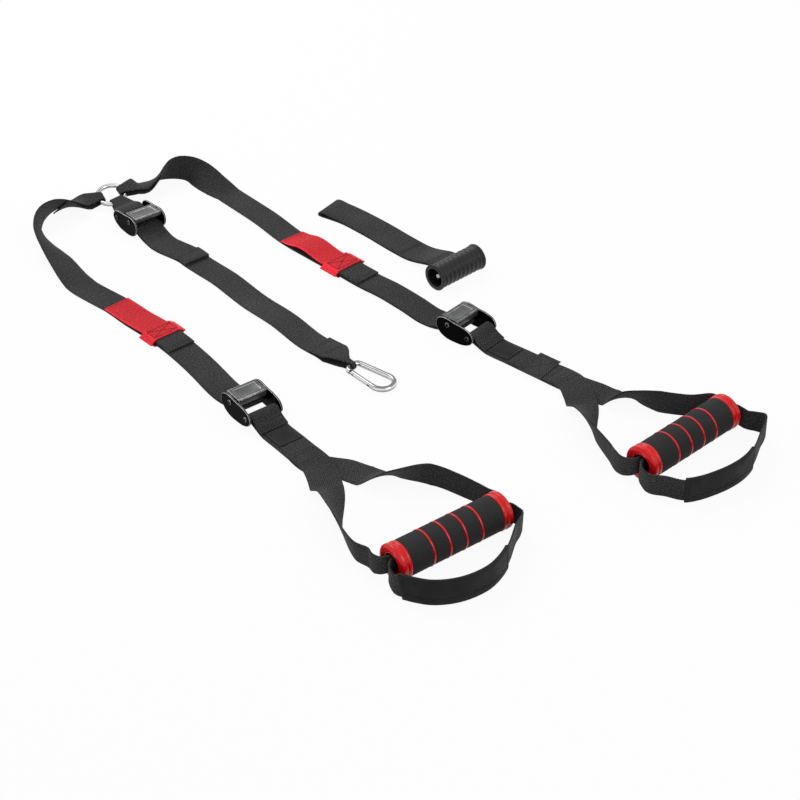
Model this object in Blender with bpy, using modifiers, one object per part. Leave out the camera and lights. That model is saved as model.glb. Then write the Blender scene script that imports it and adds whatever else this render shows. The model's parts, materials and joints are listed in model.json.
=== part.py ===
"""Suspension trainer, laid out on a floor: two adjustable webbing legs and a centre strap hang from one
steel ring, each with a cam buckle; the legs end in foam grips with foot loops, the centre strap in a
spring-gate carabiner, and a door anchor lies beside them. Metres, +Z up, origin at the middle of the
layout's base."""

import math

import bmesh
import bpy
from mathutils import Matrix, Vector

MM = 0.001

# The layout on the floor
LAYOUT_WIDTH = 920 * MM
LAYOUT_DEPTH = 920 * MM
layout_centre_shares = (-0.0015, -0.0139)

# Clearances and cutters
FIT_GAP = 0.3 * MM
LAYER_GAP = 0.4 * MM
FLOOR_GAP = 0.25 * MM
OVERRUN = 2 * MM
WELD_DISTANCE = 0.002 * MM
TURNED_WELD_DISTANCE = 0.01 * MM

# Webbing
WEBBING_WIDTH = 38 * MM
WEBBING_THICKNESS = 1.8 * MM
STATION_PITCH = 15 * MM
FINE_PITCH = 5 * MM
TURN_STEPS = 5

# Ring and the eyes sewn round it
RING_RADIUS = 19 * MM
RING_WIRE_RADIUS = 3 * MM
RING_TILT = math.radians(12)
RING_SEGMENTS = 32
RING_WIRE_SEGMENTS = 8
RING_EYE_WIDTHS = {"left": 15 * MM, "right": 15 * MM, "centre": 18 * MM}
EYE_CLOSING_LENGTH = 46 * MM
EYE_END_GAP = 1.6 * MM
RING_EYE_SPREAD = 0.6
EYE_SEAM_GAP = 1.4 * MM
ring_place_shares = (-0.395, 0.403)
RING_EYE_HEADINGS = {"left": 205, "right": 30, "centre": -53}
DOUBLED_EYE_LENGTH = 62 * MM

# Cam buckles, in their own frame: x towards the anchor bar, z up from the floor
BUCKLE_LENGTH = 58 * MM
BUCKLE_HEIGHT = 29 * MM
CHEEK_DEPTH = 7 * MM
CHEEK_THICKNESS = 2.2 * MM
CHEEK_SIDE_GAP = 2.2 * MM
BASE_BAR_LENGTH = 12 * MM
BASE_BAR_THICKNESS = 2.2 * MM
BASE_BAR_FRONT = -4 * MM
LEVER_PIN_RADIUS = 2.2 * MM
LEVER_PIN_X = -11 * MM
LEVER_SIDE_GAP = 1.8 * MM
LEVER_PLATE_LENGTH = 25 * MM
LEVER_BACK_SHARE = 0.48
LEVER_LIP_LENGTH = 6 * MM
CAM_RADIUS = 6.6 * MM
CAM_HEEL_RADIUS = 5.2 * MM
LEVER_FRONT_SHARE = 0.88
LEVER_WALL_SHARE = 0.33
LEVER_RECESS_DEPTH = 0.7 * MM
LEVER_RECESS_LENGTH = 15 * MM
LEVER_RECESS_WIDTH = 30 * MM
SPRING_POCKET_RADIUS = 4 * MM
SPRING_POCKET_WIDTH = 9 * MM
SPRING_WIRE_RADIUS = 0.35 * MM
SPRING_TURNS = 4
SPRING_TURN_POINTS = 8
ANCHOR_BAR_RADIUS = 2.5 * MM
ANCHOR_BAR_X = 20 * MM
ANCHOR_BAR_RISE = 14 * MM
RIVET_HEAD_RADIUS = 3.3 * MM
RIVET_HEAD_THICKNESS = 1 * MM
PIN_STEPS = 12
BUCKLE_ENTRY_LENGTH = 48 * MM
BUCKLE_FLAT_LENGTH = 14 * MM
entry_rise_share = 0.45
cheek_outline_shares = (
    (-0.50, 0.58), (-0.46, 0.87), (-0.33, 1.0), (0.0, 0.95), (0.26, 0.90), (0.39, 0.82), (0.47, 0.66),
    (0.50, 0.46), (0.44, 0.25), (0.27, 0.07), (0.02, 0.010), (-0.22, 0.035), (-0.40, 0.20),
)

# Where each buckle lies and the way its anchor bar points, in degrees
buckle_place_shares = {"centre": (-0.3447, 0.3292), "left": (-0.1538, -0.1338), "right": (0.1212, 0.0479)}
BUCKLE_HEADINGS = {"centre": 128, "left": -52, "right": -41}

# Carabiner, in its own frame: x from the strap to the tip, gate on the right-hand side
CARABINER_WIRE_RADIUS = 3.5 * MM
CARABINER_LENGTH = 63 * MM
CARABINER_END_RADIUS = 14.5 * MM
CARABINER_CORNER_RADIUS = 6 * MM
CARABINER_SEAT_WIDTH = 8 * MM
CARABINER_HEADING = -41
GATE_PIN_INSET = 6 * MM
GATE_BODY_GAP = 0.5 * MM
GATE_TONGUE_THICKNESS = 2.6 * MM
GATE_NOSE_LENGTH = 3.4 * MM
GATE_NOSE_THICKNESS = 1.8 * MM
GATE_PIN_RADIUS = 1 * MM
GATE_BORE_RADIUS = 1.7 * MM
GATE_BORE_LENGTH = 10 * MM
GATE_SPRING_RADIUS = 1.1 * MM
GATE_SPRING_WIRE_RADIUS = 0.2 * MM
GATE_SPRING_TURNS = 5
CARABINER_EYE_WIDTH = 6.6 * MM
carabiner_place_shares = (-0.0304, -0.0348)

# Grips
GRIP_LENGTH = 150 * MM
GRIP_STEPS = 18
CORE_BORE_RADIUS = 11.5 * MM
CORE_RADIUS = 14 * MM
FOAM_RADIUS = 21 * MM
CAP_LENGTH = 13 * MM
CAP_LIP_LENGTH = 4.5 * MM
CAP_RING_RADIUS = 21.6 * MM
CAP_GROOVE_RADIUS = 20 * MM
CAP_FLANGE_RADIUS = 21.9 * MM
CAP_FACE_RADIUS = 18.5 * MM
cap_step_shares = (0.27, 0.42, 0.52, 0.90)
STRIPE_WIDTH = 1.4 * MM
STRIPE_DEPTH = 1.1 * MM
STRIPE_PROUD = 0.2 * MM
stripe_place_shares = (0.237, 0.412, 0.588, 0.763)

# Where each grip's middle lies and the way it points from its near end to its far end
grip_place_shares = {"left": (0.0870, -0.4054), "right": (0.3810, -0.2147)}
GRIP_HEADINGS = {"left": 37.5, "right": 43.4}

# Foot loops
FOOT_WEBBING_WIDTH = 28 * MM
BORE_LAYER_GAP = 1 * MM
PAD_WALL = 1.3 * MM

# Labels and patch sewn on the handle webbing
LABEL_THICKNESS = 0.6 * MM
LABEL_WIDTH = 31 * MM
PATCH_THICKNESS = 1.2 * MM
PATCH_OVERHANG = 4 * MM

# Red adjusters and folded tail ends
SLEEVE_WALL = 1.5 * MM
SLEEVE_OVERHANG = 3 * MM
HEM_THICKNESS = 2.4 * MM
SLEEVE_LENGTH_SHARE = 0.18
TAB_ARCH_HEIGHTS = {"left": 1 * MM, "right": 7 * MM}

# Door anchor
DOOR_WEBBING_WIDTH = 43 * MM
DOOR_FOLD_RADIUS = 2.4 * MM
ROLLER_LENGTH = 75 * MM
ROLLER_RADIUS = 16.2 * MM
ROLLER_RIM_RADIUS = 17.5 * MM
ROLLER_RIM_LENGTH = 4 * MM
ROLLER_RIB_HEIGHT = 1 * MM
ROLLER_BORE_RADIUS = 12.5 * MM
ROLLER_RIBS = 9
ROLLER_STEPS = 24
ROLLER_HEADING = 43
ROD_RADIUS = 3 * MM
ROD_LENGTH = 64 * MM
SLOT_MARGIN = 1 * MM
roller_place_shares = (0.1103, 0.1891)

# Routes over the floor: share of the layout's width, share of its depth, tilt in quarter turns with the
# right-hand edge raised, lift in webbing thicknesses, and a mark where something starts or ends
left_leg_shares = (
    (-0.4410, 0.3800, 1.82, 0.0, ""),
    (-0.4550, 0.3710, 1.62, 0.0, ""),
    (-0.4690, 0.3580, 1.44, 0.0, ""),
    (-0.4800, 0.3400, 1.25, 0.0, ""),
    (-0.4865, 0.3120, 1.0, 0.0, ""),
    (-0.4780, 0.2760, 0.62, 0.0, ""),
    (-0.4490, 0.2300, 0.25, 0.0, ""),
    (-0.4130, 0.1720, 0.0, 0.6, ""),
    (-0.3840, 0.1400, 0.0, 1.6, ""),
    (-0.3550, 0.1160, 0.0, 1.0, "tab end"),
    (-0.3220, 0.0810, 0.0, 0.5, ""),
    (-0.2935, 0.0511, 0.0, 1.056, "sleeve start"),
    (-0.2848, 0.0413, 0.0, 1.056, "sleeve middle"),
    (-0.2761, 0.0315, 0.0, 1.056, "sleeve end"),
    (-0.2560, 0.0080, 0.0, 0.6, "hem end"),
    (-0.2280, -0.0300, 0.0, 0.2, ""),
)
right_leg_shares = (
    (-0.3500, 0.4300, -1.82, 0.0, ""),
    (-0.3370, 0.4420, -1.60, 0.0, ""),
    (-0.3260, 0.4540, -1.38, 0.0, ""),
    (-0.3140, 0.4640, -1.20, 0.0, ""),
    (-0.3000, 0.4690, -1.05, 0.0, ""),
    (-0.2850, 0.4660, -0.90, 0.0, ""),
    (-0.2680, 0.4560, -0.60, 0.0, ""),
    (-0.2460, 0.4400, -0.25, 0.0, ""),
    (-0.2240, 0.4230, 0.0, 0.4, ""),
    (-0.1960, 0.3890, 0.0, 0.8, ""),
    (-0.1630, 0.3480, 0.0, 1.2, ""),
    (-0.1230, 0.2960, 0.0, 0.4, "tab end"),
    (-0.0880, 0.2580, 0.0, 0.6, ""),
    (-0.0590, 0.2270, 0.0, 1.056, "sleeve start"),
    (-0.0485, 0.2160, 0.0, 1.056, "sleeve middle"),
    (-0.0380, 0.2050, 0.0, 1.056, "sleeve end"),
    (-0.0120, 0.1790, 0.0, 0.6, "hem end"),
    (0.0180, 0.1490, 0.0, 1.4, ""),
    (0.0510, 0.1140, 0.0, 0.8, ""),
)
centre_strap_shares = (
    (-0.0530, -0.0060, 0.0, 1.5, ""),
    (-0.0870, 0.0293, 0.0, 0.5, ""),
    (-0.1240, 0.0730, 0.0, 2.6, ""),
    (-0.1680, 0.1280, 0.0, 0.3, ""),
    (-0.2120, 0.1840, 0.0, 0.8, ""),
    (-0.2340, 0.2090, 0.0, 0.3, ""),
    (-0.2540, 0.2310, 0.0, 0.2, "hem end"),
    (-0.2670, 0.2465, 0.0, 0.2, "hem start"),
)
door_strap_shares = (
    (-0.0400, 0.3560, 0.0, 1.0),
    (-0.0020, 0.3190, 0.0, 0.65),
    (0.0340, 0.2780, 0.0, 0.8),
    (0.0620, 0.2460, 0.0, 2.2),
)
door_fold_shares = (-0.0720, 0.3790)

# Handle webbing from the yoke to the far cap and from the near cap back to the yoke, as the routes above
# but with the width as a share of the webbing's width in place of the mark
far_branch_shares = {
    "left": ((-0.0320, -0.2520, 0.0, 0.0, 1.0), (-0.0100, -0.2640, 0.0, 0.0, 1.0),
             (0.0230, -0.2780, 0.50, 0.0, 0.97),
             (0.0685, -0.2830, 0.90, 0.0, 0.90), (0.1098, -0.3054, 0.98, 0.0, 0.80)),
    "right": ((0.2830, -0.0860, 0.0, 0.0, 1.0), (0.3020, -0.1000, 0.0, 0.0, 1.0),
              (0.3260, -0.1180, 0.55, 0.0, 0.97),
              (0.3600, -0.1330, 0.90, 0.0, 0.90), (0.3978, -0.1378, 0.98, 0.0, 0.80)),
}
near_branch_shares = {
    "left": ((-0.0185, -0.4228, 1.08, 0.0, 0.75), (-0.0420, -0.3652, 1.25, 0.0, 0.88),
             (-0.0500, -0.3180, 1.62, 0.0, 0.97),
             (-0.0550, -0.2930, 2.0, 2.2, 1.0), (-0.0600, -0.2700, 2.0, 1.6, 1.0)),
    "right": ((0.2880, -0.2330, 1.06, 0.0, 0.75), (0.2707, -0.1913, 1.20, 0.0, 0.88),
              (0.2650, -0.1480, 1.62, 0.0, 0.97),
              (0.2640, -0.1220, 2.0, 2.2, 1.0), (0.2610, -0.0960, 2.0, 1.6, 1.0)),
}
foot_loop_shares = {
    "left": ((0.1663, -0.3935, ""), (0.1540, -0.4360, "pad start"), (0.1337, -0.4700, ""),
             (0.1000, -0.4920, ""),
             (0.0663, -0.4970, ""), (0.0370, -0.4880, "pad end")),
    "right": ((0.4860, -0.1800, ""), (0.4761, -0.2098, ""), (0.4600, -0.2500, "pad start"),
              (0.4424, -0.2739, ""),
              (0.4087, -0.2989, ""), (0.3717, -0.3130, "pad end"), (0.3489, -0.3050, "")),
}
YOKE_LENGTHS = {"left": 104.5 * MM, "right": 140.5 * MM}
HEM_DISTANCE = 25 * MM
LABEL_LENGTH = 32 * MM
PATCH_START = 78.5 * MM
PATCH_LENGTH = 30 * MM

# Webbing round a cap and into its bore, as shares of the flange's radius: past the cap's face, sideways
cap_turn_shares = ((0.32, 1.30), (0.44, 0.85), (0.38, 0.45), (0.20, 0.17))
foot_turn_shares = ((0.50, 0.95), (0.42, 0.50), (0.20, 0.17))

FINISHES = {
    "webbing": ((0.022, 0.022, 0.024, 1.0), 0.85, 0.0),
    "red_webbing": ((0.62, 0.045, 0.045, 1.0), 0.8, 0.0),
    "label": ((0.035, 0.035, 0.037, 1.0), 0.5, 0.0),
    "pad_fabric": ((0.024, 0.024, 0.025, 1.0), 0.6, 0.0),
    "black_metal": ((0.012, 0.012, 0.013, 1.0), 0.25, 0.6),
    "chrome": ((0.75, 0.75, 0.76, 1.0), 0.12, 1.0),
    "spring_steel": ((0.45, 0.45, 0.46, 1.0), 0.3, 1.0),
    "red_plastic": ((0.55, 0.012, 0.015, 1.0), 0.3, 0.0),
    "foam": ((0.028, 0.028, 0.028, 1.0), 0.95, 0.0),
    "rubber": ((0.02, 0.02, 0.02, 1.0), 0.7, 0.0),
}

ALONG_Y = Matrix.Rotation(math.radians(90), 4, "X")
UP = Vector((0, 0, 1))


class Station:
    """One place on a webbing's route, with the way its width runs and how wide it is there"""

    def __init__(self, place, side, width, mark=""):
        self.place = place
        self.side = side
        self.width = width
        self.mark = mark


def clear_scene():
    for item in list(bpy.data.objects):
        bpy.data.objects.remove(item, do_unlink=True)


def new_collection(name):
    collection = bpy.data.collections.new(name)
    bpy.context.scene.collection.children.link(collection)
    return collection


def finish(name):
    """The named material, made once"""
    material = bpy.data.materials.get(name)
    if material:
        return material
    colour, roughness, metallic = FINISHES[name]
    material = bpy.data.materials.new(name)
    material.use_nodes = True
    shader = material.node_tree.nodes["Principled BSDF"]
    shader.inputs["Base Color"].default_value = colour
    shader.inputs["Roughness"].default_value = roughness
    shader.inputs["Metallic"].default_value = metallic
    material.diffuse_color = colour
    return material


def place_mesh(name, mesh, finish_name, parent=None, matrix=None):
    """Puts a finished mesh in the model under its node's name"""
    piece = bpy.data.objects.new(name, mesh)
    MODEL.objects.link(piece)
    if not mesh.materials:
        mesh.materials.append(finish(finish_name))
    if parent:
        piece.parent = parent
    if matrix:
        piece.matrix_local = matrix
    return piece


def empty(name, matrix, parent=None):
    axis = bpy.data.objects.new(name, None)
    MODEL.objects.link(axis)
    if parent:
        axis.parent = parent
    axis.matrix_local = matrix
    return axis


def guide(data):
    """An object in the workshop collection, for shapes that are cut or evaluated before use"""
    item = bpy.data.objects.new("guide", data)
    CUTTERS.objects.link(item)
    item.hide_render = True
    item.display_type = "WIRE"
    return item


def evaluated_mesh(item):
    """The item's mesh with its modifiers applied, welded, faces out; the item is removed"""
    bpy.context.view_layer.update()
    graph = bpy.context.evaluated_depsgraph_get()
    mesh = bpy.data.meshes.new_from_object(item.evaluated_get(graph))
    shape = bmesh.new()
    shape.from_mesh(mesh)
    bmesh.ops.transform(shape, matrix=item.matrix_world, verts=shape.verts)
    bmesh.ops.remove_doubles(shape, verts=shape.verts, dist=WELD_DISTANCE)
    bmesh.ops.recalc_face_normals(shape, faces=shape.faces)
    shape.to_mesh(mesh)
    shape.free()
    bpy.data.objects.remove(item, do_unlink=True)
    return mesh


def combined(mesh, other, operation):
    """Boolean of two meshes"""
    target, tool = guide(mesh), guide(other)
    change = target.modifiers.new("combine", "BOOLEAN")
    change.operation = operation
    change.object = tool
    result = evaluated_mesh(target)
    bpy.data.objects.remove(tool, do_unlink=True)
    return result


def moved(mesh, matrix):
    mesh.transform(matrix)
    return mesh


def box(length, width, height, centre):
    shape = bmesh.new()
    size = Matrix.Diagonal((length, width, height, 1))
    bmesh.ops.create_cube(shape, size=1, matrix=Matrix.Translation(centre) @ size)
    mesh = bpy.data.meshes.new("box")
    shape.to_mesh(mesh)
    shape.free()
    return mesh


def turned(outline, steps, closed=False):
    """Revolves (radius, height) points about Z with a Screw modifier"""
    mesh = bpy.data.meshes.new("profile")
    edges = [(i, i + 1) for i in range(len(outline) - 1)]
    if closed:
        edges.append((len(outline) - 1, 0))
    mesh.from_pydata([(radius, 0, height) for radius, height in outline], edges, [])
    item = guide(mesh)
    screw = item.modifiers.new("turn", "SCREW")
    screw.steps = steps
    screw.render_steps = steps
    screw.use_merge_vertices = True
    screw.merge_threshold = TURNED_WELD_DISTANCE
    return evaluated_mesh(item)


def rod(radius, length, steps):
    """A plain rod along Z, centred"""
    return turned(((0, length / 2), (radius, length / 2), (radius, -length / 2), (0, -length / 2)), steps)


def riveted_pin(radius, span, head_radius, head_thickness):
    """A pin along Y whose heads lie outside the span"""
    inner, outer = span / 2, span / 2 + head_thickness
    half = [(0, outer), (head_radius * 0.75, outer), (head_radius, inner + head_thickness * 0.4),
            (head_radius, inner),
            (radius, inner)]
    outline = half + [(r, -h) for r, h in reversed(half)]
    return moved(turned(outline, PIN_STEPS), ALONG_Y)


def plate(outline, thickness, smooth_outline, resolution=2):
    """A flat outline in XZ with its thickness along Y"""
    curve = bpy.data.curves.new("outline", "CURVE")
    curve.dimensions = "2D"
    curve.fill_mode = "BOTH"
    curve.extrude = thickness / 2
    curve.resolution_u = resolution
    if smooth_outline:
        spline = curve.splines.new("BEZIER")
        spline.bezier_points.add(len(outline) - 1)
        for point, (x, z) in zip(spline.bezier_points, outline):
            point.co = (x, z, 0)
            point.handle_left_type = "AUTO"
            point.handle_right_type = "AUTO"
    else:
        spline = curve.splines.new("POLY")
        spline.points.add(len(outline) - 1)
        for point, (x, z) in zip(spline.points, outline):
            point.co = (x, z, 0, 1)
    spline.use_cyclic_u = True
    item = guide(curve)
    item.matrix_world = ALONG_Y
    return evaluated_mesh(item)


def wire(points, radius, bevel_resolution):
    """A round wire through the points"""
    curve = bpy.data.curves.new("wire", "CURVE")
    curve.dimensions = "3D"
    curve.bevel_depth = radius
    curve.bevel_resolution = bevel_resolution
    curve.use_fill_caps = True
    spline = curve.splines.new("POLY")
    spline.points.add(len(points) - 1)
    for point, place in zip(spline.points, points):
        point.co = (*place, 1)
    return evaluated_mesh(guide(curve))


def coil(radius, wire_radius, turns, length):
    """A spring about Z, centred; its least gap between turns is printed"""
    count = turns * SPRING_TURN_POINTS + 1
    points = []
    for i in range(count):
        angle = math.tau * i / SPRING_TURN_POINTS
        points.append((radius * math.cos(angle), radius * math.sin(angle),
                       length * (i / (count - 1) - 0.5)))
    print("least gap between spring turns, mm:", round((length / turns - 2 * wire_radius) / MM, 2))
    return wire(points, wire_radius, 0)


def lerp(low, high, share):
    return low + (high - low) * share


def ease(share):
    share = min(1, max(0, share))
    return share * share * (3 - 2 * share)


def on_floor(x_share, y_share, height=0.0):
    return Vector(((x_share - layout_centre_shares[0]) * LAYOUT_WIDTH,
                   (y_share - layout_centre_shares[1]) * LAYOUT_DEPTH, height))


def heading_vector(degrees):
    return Vector((math.cos(math.radians(degrees)), math.sin(math.radians(degrees)), 0))


def tilted_side(direction, tilt):
    """The right-hand side of a direction, raised by the tilt in quarter turns"""
    right = Vector((direction.y, -direction.x, 0)).normalized()
    angle = tilt * math.pi / 2
    return right * math.cos(angle) + Vector((0, 0, math.sin(angle)))


def resting_height(width, tilt, lift):
    """How high the middle of a webbing lies when its lower edge touches the floor"""
    angle = tilt * math.pi / 2
    return width / 2 * abs(math.sin(angle)) + WEBBING_THICKNESS * (abs(math.cos(angle)) / 2 + lift)


def curve_place(before, start, end, after, share):
    """A place between start and end on the centripetal curve through four points"""
    knots = [0.0]
    for a, b in ((before, start), (start, end), (end, after)):
        knots.append(knots[-1] + math.sqrt((b - a).length))
    t = lerp(knots[1], knots[2], share)
    places = [before, start, end, after]
    for spans in (((0, 1), (1, 2), (2, 3)), ((0, 2), (1, 3)), ((1, 2),)):
        weights = [(t - knots[low]) / (knots[high] - knots[low]) for low, high in spans]
        places = [a.lerp(b, weight) for a, b, weight in zip(places, places[1:], weights)]
    return places[0]


def smooth(stations, first_pitch=STATION_PITCH, first_count=99):
    """Samples on one smooth curve through the stations; the first spans have their own pitch"""
    samples = []
    for i in range(len(stations) - 1):
        pitch = first_pitch if i < first_count else STATION_PITCH
        start, end = stations[i], stations[i + 1]
        before = stations[i - 1].place if i else start.place * 2 - end.place
        after = stations[i + 2].place if i + 2 < len(stations) else end.place * 2 - start.place
        steps = max(1, round((end.place - start.place).length / pitch))
        for k in range(steps):
            share = k / steps
            place = curve_place(before, start.place, end.place, after, share)
            side = start.side.lerp(end.side, share).normalized()
            width = lerp(start.width, end.width, share)
            samples.append(Station(place, side, width, start.mark if k == 0 else ""))
    samples.append(stations[-1])
    return samples


def frames(samples, closed=False):
    """The direction, side and face normal at each sample"""
    result = []
    last = len(samples) - 1
    for i, sample in enumerate(samples):
        before = samples[i - 1] if i or closed else sample
        after = samples[(i + 1) % len(samples)] if i < last or closed else sample
        direction = (after.place - before.place).normalized()
        side = (sample.side - direction * sample.side.dot(direction)).normalized()
        result.append((direction, side, side.cross(direction)))
    return result


def lifted(samples, heights):
    """The same route moved along its face normal by a height for each sample"""
    result = []
    for sample, (_, side, normal), height in zip(samples, frames(samples), heights):
        result.append(Station(sample.place + normal * height, side, sample.width, sample.mark))
    return result


def lengths(samples):
    """Distance along the route at each sample"""
    result = [0.0]
    for a, b in zip(samples, samples[1:]):
        result.append(result[-1] + (b.place - a.place).length)
    return result


def floor_rises(samples):
    """How far each sample has to rise for the webbing's lower edge to clear the floor"""
    rises = []
    for sample, (_, side, normal) in zip(samples, frames(samples)):
        low = abs(side.z) * sample.width / 2 + abs(normal.z) * WEBBING_THICKNESS / 2 + FLOOR_GAP
        rises.append(max(0, low - sample.place.z))
    return rises


def raised(samples, rises):
    """The route lifted by its rises, which are widened and evened out so that it stays smooth"""
    peaks = [max(rises[max(0, i - 1):i + 2]) for i in range(len(rises))]
    result = []
    for i, sample in enumerate(samples):
        near = peaks[max(0, i - 1):i + 2]
        place = sample.place + UP * (sum(near) / len(near))
        result.append(Station(place, sample.side, sample.width, sample.mark))
    return result


def settled(samples):
    return raised(samples, floor_rises(samples))


def over_floor(route, first_heights, second_heights):
    """Two layers at their heights from the route, both raised where either would reach below the floor"""
    layers = [lifted(route, first_heights), lifted(route, second_heights)]
    rises = [max(pair) for pair in zip(*[floor_rises(layer) for layer in layers])]
    return [raised(layer, rises) for layer in layers]


def marked(samples, mark):
    return next(i for i, sample in enumerate(samples) if sample.mark == mark)


def with_width(samples, width):
    return [Station(sample.place, sample.side, width, sample.mark) for sample in samples]


def floor_route(table, start, end, width=None):
    """Stations from a table of floor shares, between given first and last stations"""
    width = width or WEBBING_WIDTH
    places = [on_floor(row[0], row[1]) for row in table]
    line = [start[-1].place, *places, end[0].place]
    middle = []
    for i, row in enumerate(table):
        direction = line[i + 2] - line[i]
        tilt, lift = row[2], row[3]
        place = places[i] + Vector((0, 0, resting_height(width, tilt, lift)))
        mark = row[4] if len(row) > 4 else ""
        middle.append(Station(place, tilted_side(direction, tilt), width, mark))
    return [*start, *middle, *end]


def half_turn(centre, direction, normal, side, radius, width, steps=TURN_STEPS, inward=-1):
    """Stations round half a circle, from the normal's side to the other; inward -1 passes behind"""
    result = []
    for i in range(1, steps):
        angle = math.pi * i / steps
        place = centre + normal * (radius * math.cos(angle)) + direction * (inward * radius * math.sin(angle))
        result.append(Station(place, side, width))
    return result


def ribbon(name, samples, thickness, finish_name, closed=False, pivot=None, parent=None):
    """A flat strip along the samples: a grid laid on the route and given its thickness"""
    columns = len(samples) + (1 if closed else 0)
    shape = bmesh.new()
    bmesh.ops.create_grid(shape, x_segments=columns - 1, y_segments=1, size=1)
    route = frames(samples, closed)
    origin = pivot or Vector((0, 0, 0))
    for vertex in shape.verts:
        column = round((vertex.co.x + 1) / 2 * (columns - 1)) % len(samples)
        edge = 1 if vertex.co.y > 0 else -1
        vertex.co = samples[column].place + route[column][1] * (edge * samples[column].width / 2) - origin
    if closed:
        bmesh.ops.remove_doubles(shape, verts=shape.verts, dist=WELD_DISTANCE)
    mesh = bpy.data.meshes.new(name)
    shape.to_mesh(mesh)
    shape.free()
    piece = place_mesh(name, mesh, finish_name, parent)
    piece.location = origin if parent is None else origin - parent.matrix_world.translation
    wall = piece.modifiers.new("thickness", "SOLIDIFY")
    wall.thickness = thickness
    wall.offset = 0
    wall.use_even_offset = True
    return piece


def flat_sleeve(name, route, start, end, half_height, wall_thickness, lift, overhang, finish_name,
                end_steps=3):
    """A flattened tube round the route from its start sample to its end sample, open at both ends"""
    samples = route[start:end + 1]
    section = []
    for direction in (1, -1):
        for i in range(end_steps + 1):
            angle = math.pi * (i / end_steps - 0.5)
            section.append((direction, math.cos(angle), direction * math.sin(angle)))
    around = len(section)
    shape = bmesh.new()
    bmesh.ops.create_grid(shape, x_segments=len(samples) - 1, y_segments=around, size=1)
    ways = frames(route)[start:end + 1]
    for vertex in shape.verts:
        column = round((vertex.co.x + 1) / 2 * (len(samples) - 1))
        row = round((vertex.co.y + 1) / 2 * around) % around
        sample, (_, side, normal) = samples[column], ways[column]
        direction, across, up = section[row]
        reach = sample.width / 2 + overhang - half_height
        sideways = direction * (reach + half_height * across)
        vertex.co = sample.place + side * sideways + normal * (lift + half_height * up)
    bmesh.ops.remove_doubles(shape, verts=shape.verts, dist=WELD_DISTANCE)
    bmesh.ops.recalc_face_normals(shape, faces=shape.faces)
    mesh = bpy.data.meshes.new(name)
    shape.to_mesh(mesh)
    shape.free()
    piece = place_mesh(name, mesh, finish_name)
    wall = piece.modifiers.new("thickness", "SOLIDIFY")
    wall.thickness = wall_thickness
    wall.offset = 0
    wall.use_even_offset = True
    return piece


def with_pivot(piece, pivot):
    """Moves the piece's origin to a point on its joint's axis"""
    piece.data.transform(Matrix.Translation(piece.location - pivot))
    piece.location = pivot
    return piece


# Sizes that follow from the ones above
LAYER_STEP = WEBBING_THICKNESS + LAYER_GAP
RING_EYE_RADIUS = RING_WIRE_RADIUS + FIT_GAP + WEBBING_THICKNESS / 2
RING_REACH = RING_RADIUS - RING_WIRE_RADIUS - EYE_SEAM_GAP - 2 * WEBBING_THICKNESS
RING_RISE = RING_EYE_RADIUS + WEBBING_THICKNESS / 2 + 1.5 * RING_RADIUS * math.sin(RING_TILT) + FIT_GAP
BORE_ROOM = CORE_BORE_RADIUS * math.cos(math.pi / GRIP_STEPS)
BORE_WEBBING_WIDTH = 2 * (math.sqrt(BORE_ROOM ** 2 - (BORE_LAYER_GAP + WEBBING_THICKNESS) ** 2) - 2 * FIT_GAP)
CARABINER_EYE_RADIUS = CARABINER_WIRE_RADIUS + FIT_GAP + WEBBING_THICKNESS / 2
TURN_RADIUS = BASE_BAR_THICKNESS / 2 + LAYER_GAP + WEBBING_THICKNESS / 2
BASE_BAR_RISE = CHEEK_DEPTH + TURN_RADIUS + WEBBING_THICKNESS / 2 + LAYER_GAP
TAIL_TOP = BASE_BAR_RISE + TURN_RADIUS + WEBBING_THICKNESS / 2
LEVER_PIN_RISE = TAIL_TOP + FIT_GAP + CAM_RADIUS
CHEEK_INSIDE = WEBBING_WIDTH / 2 + CHEEK_SIDE_GAP
PAD_HALF_HEIGHT = WEBBING_THICKNESS / 2 + FIT_GAP + PAD_WALL / 2
FOOT_RISE = FOOT_WEBBING_WIDTH / 2 + PAD_HALF_HEIGHT + PAD_WALL / 2
ANCHOR_EYE_INSIDE = (ANCHOR_BAR_RADIUS + FIT_GAP) / math.cos(math.pi / (2 * TURN_STEPS))
ANCHOR_EYE_RADIUS = ANCHOR_EYE_INSIDE + WEBBING_THICKNESS / 2
PIN_SPAN = 2 * (CHEEK_INSIDE + CHEEK_THICKNESS + FIT_GAP)


def buckle_matrix(name):
    place = on_floor(*buckle_place_shares[name])
    return Matrix.Translation(place) @ Matrix.Rotation(math.radians(BUCKLE_HEADINGS[name]), 4, "Z")


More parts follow.
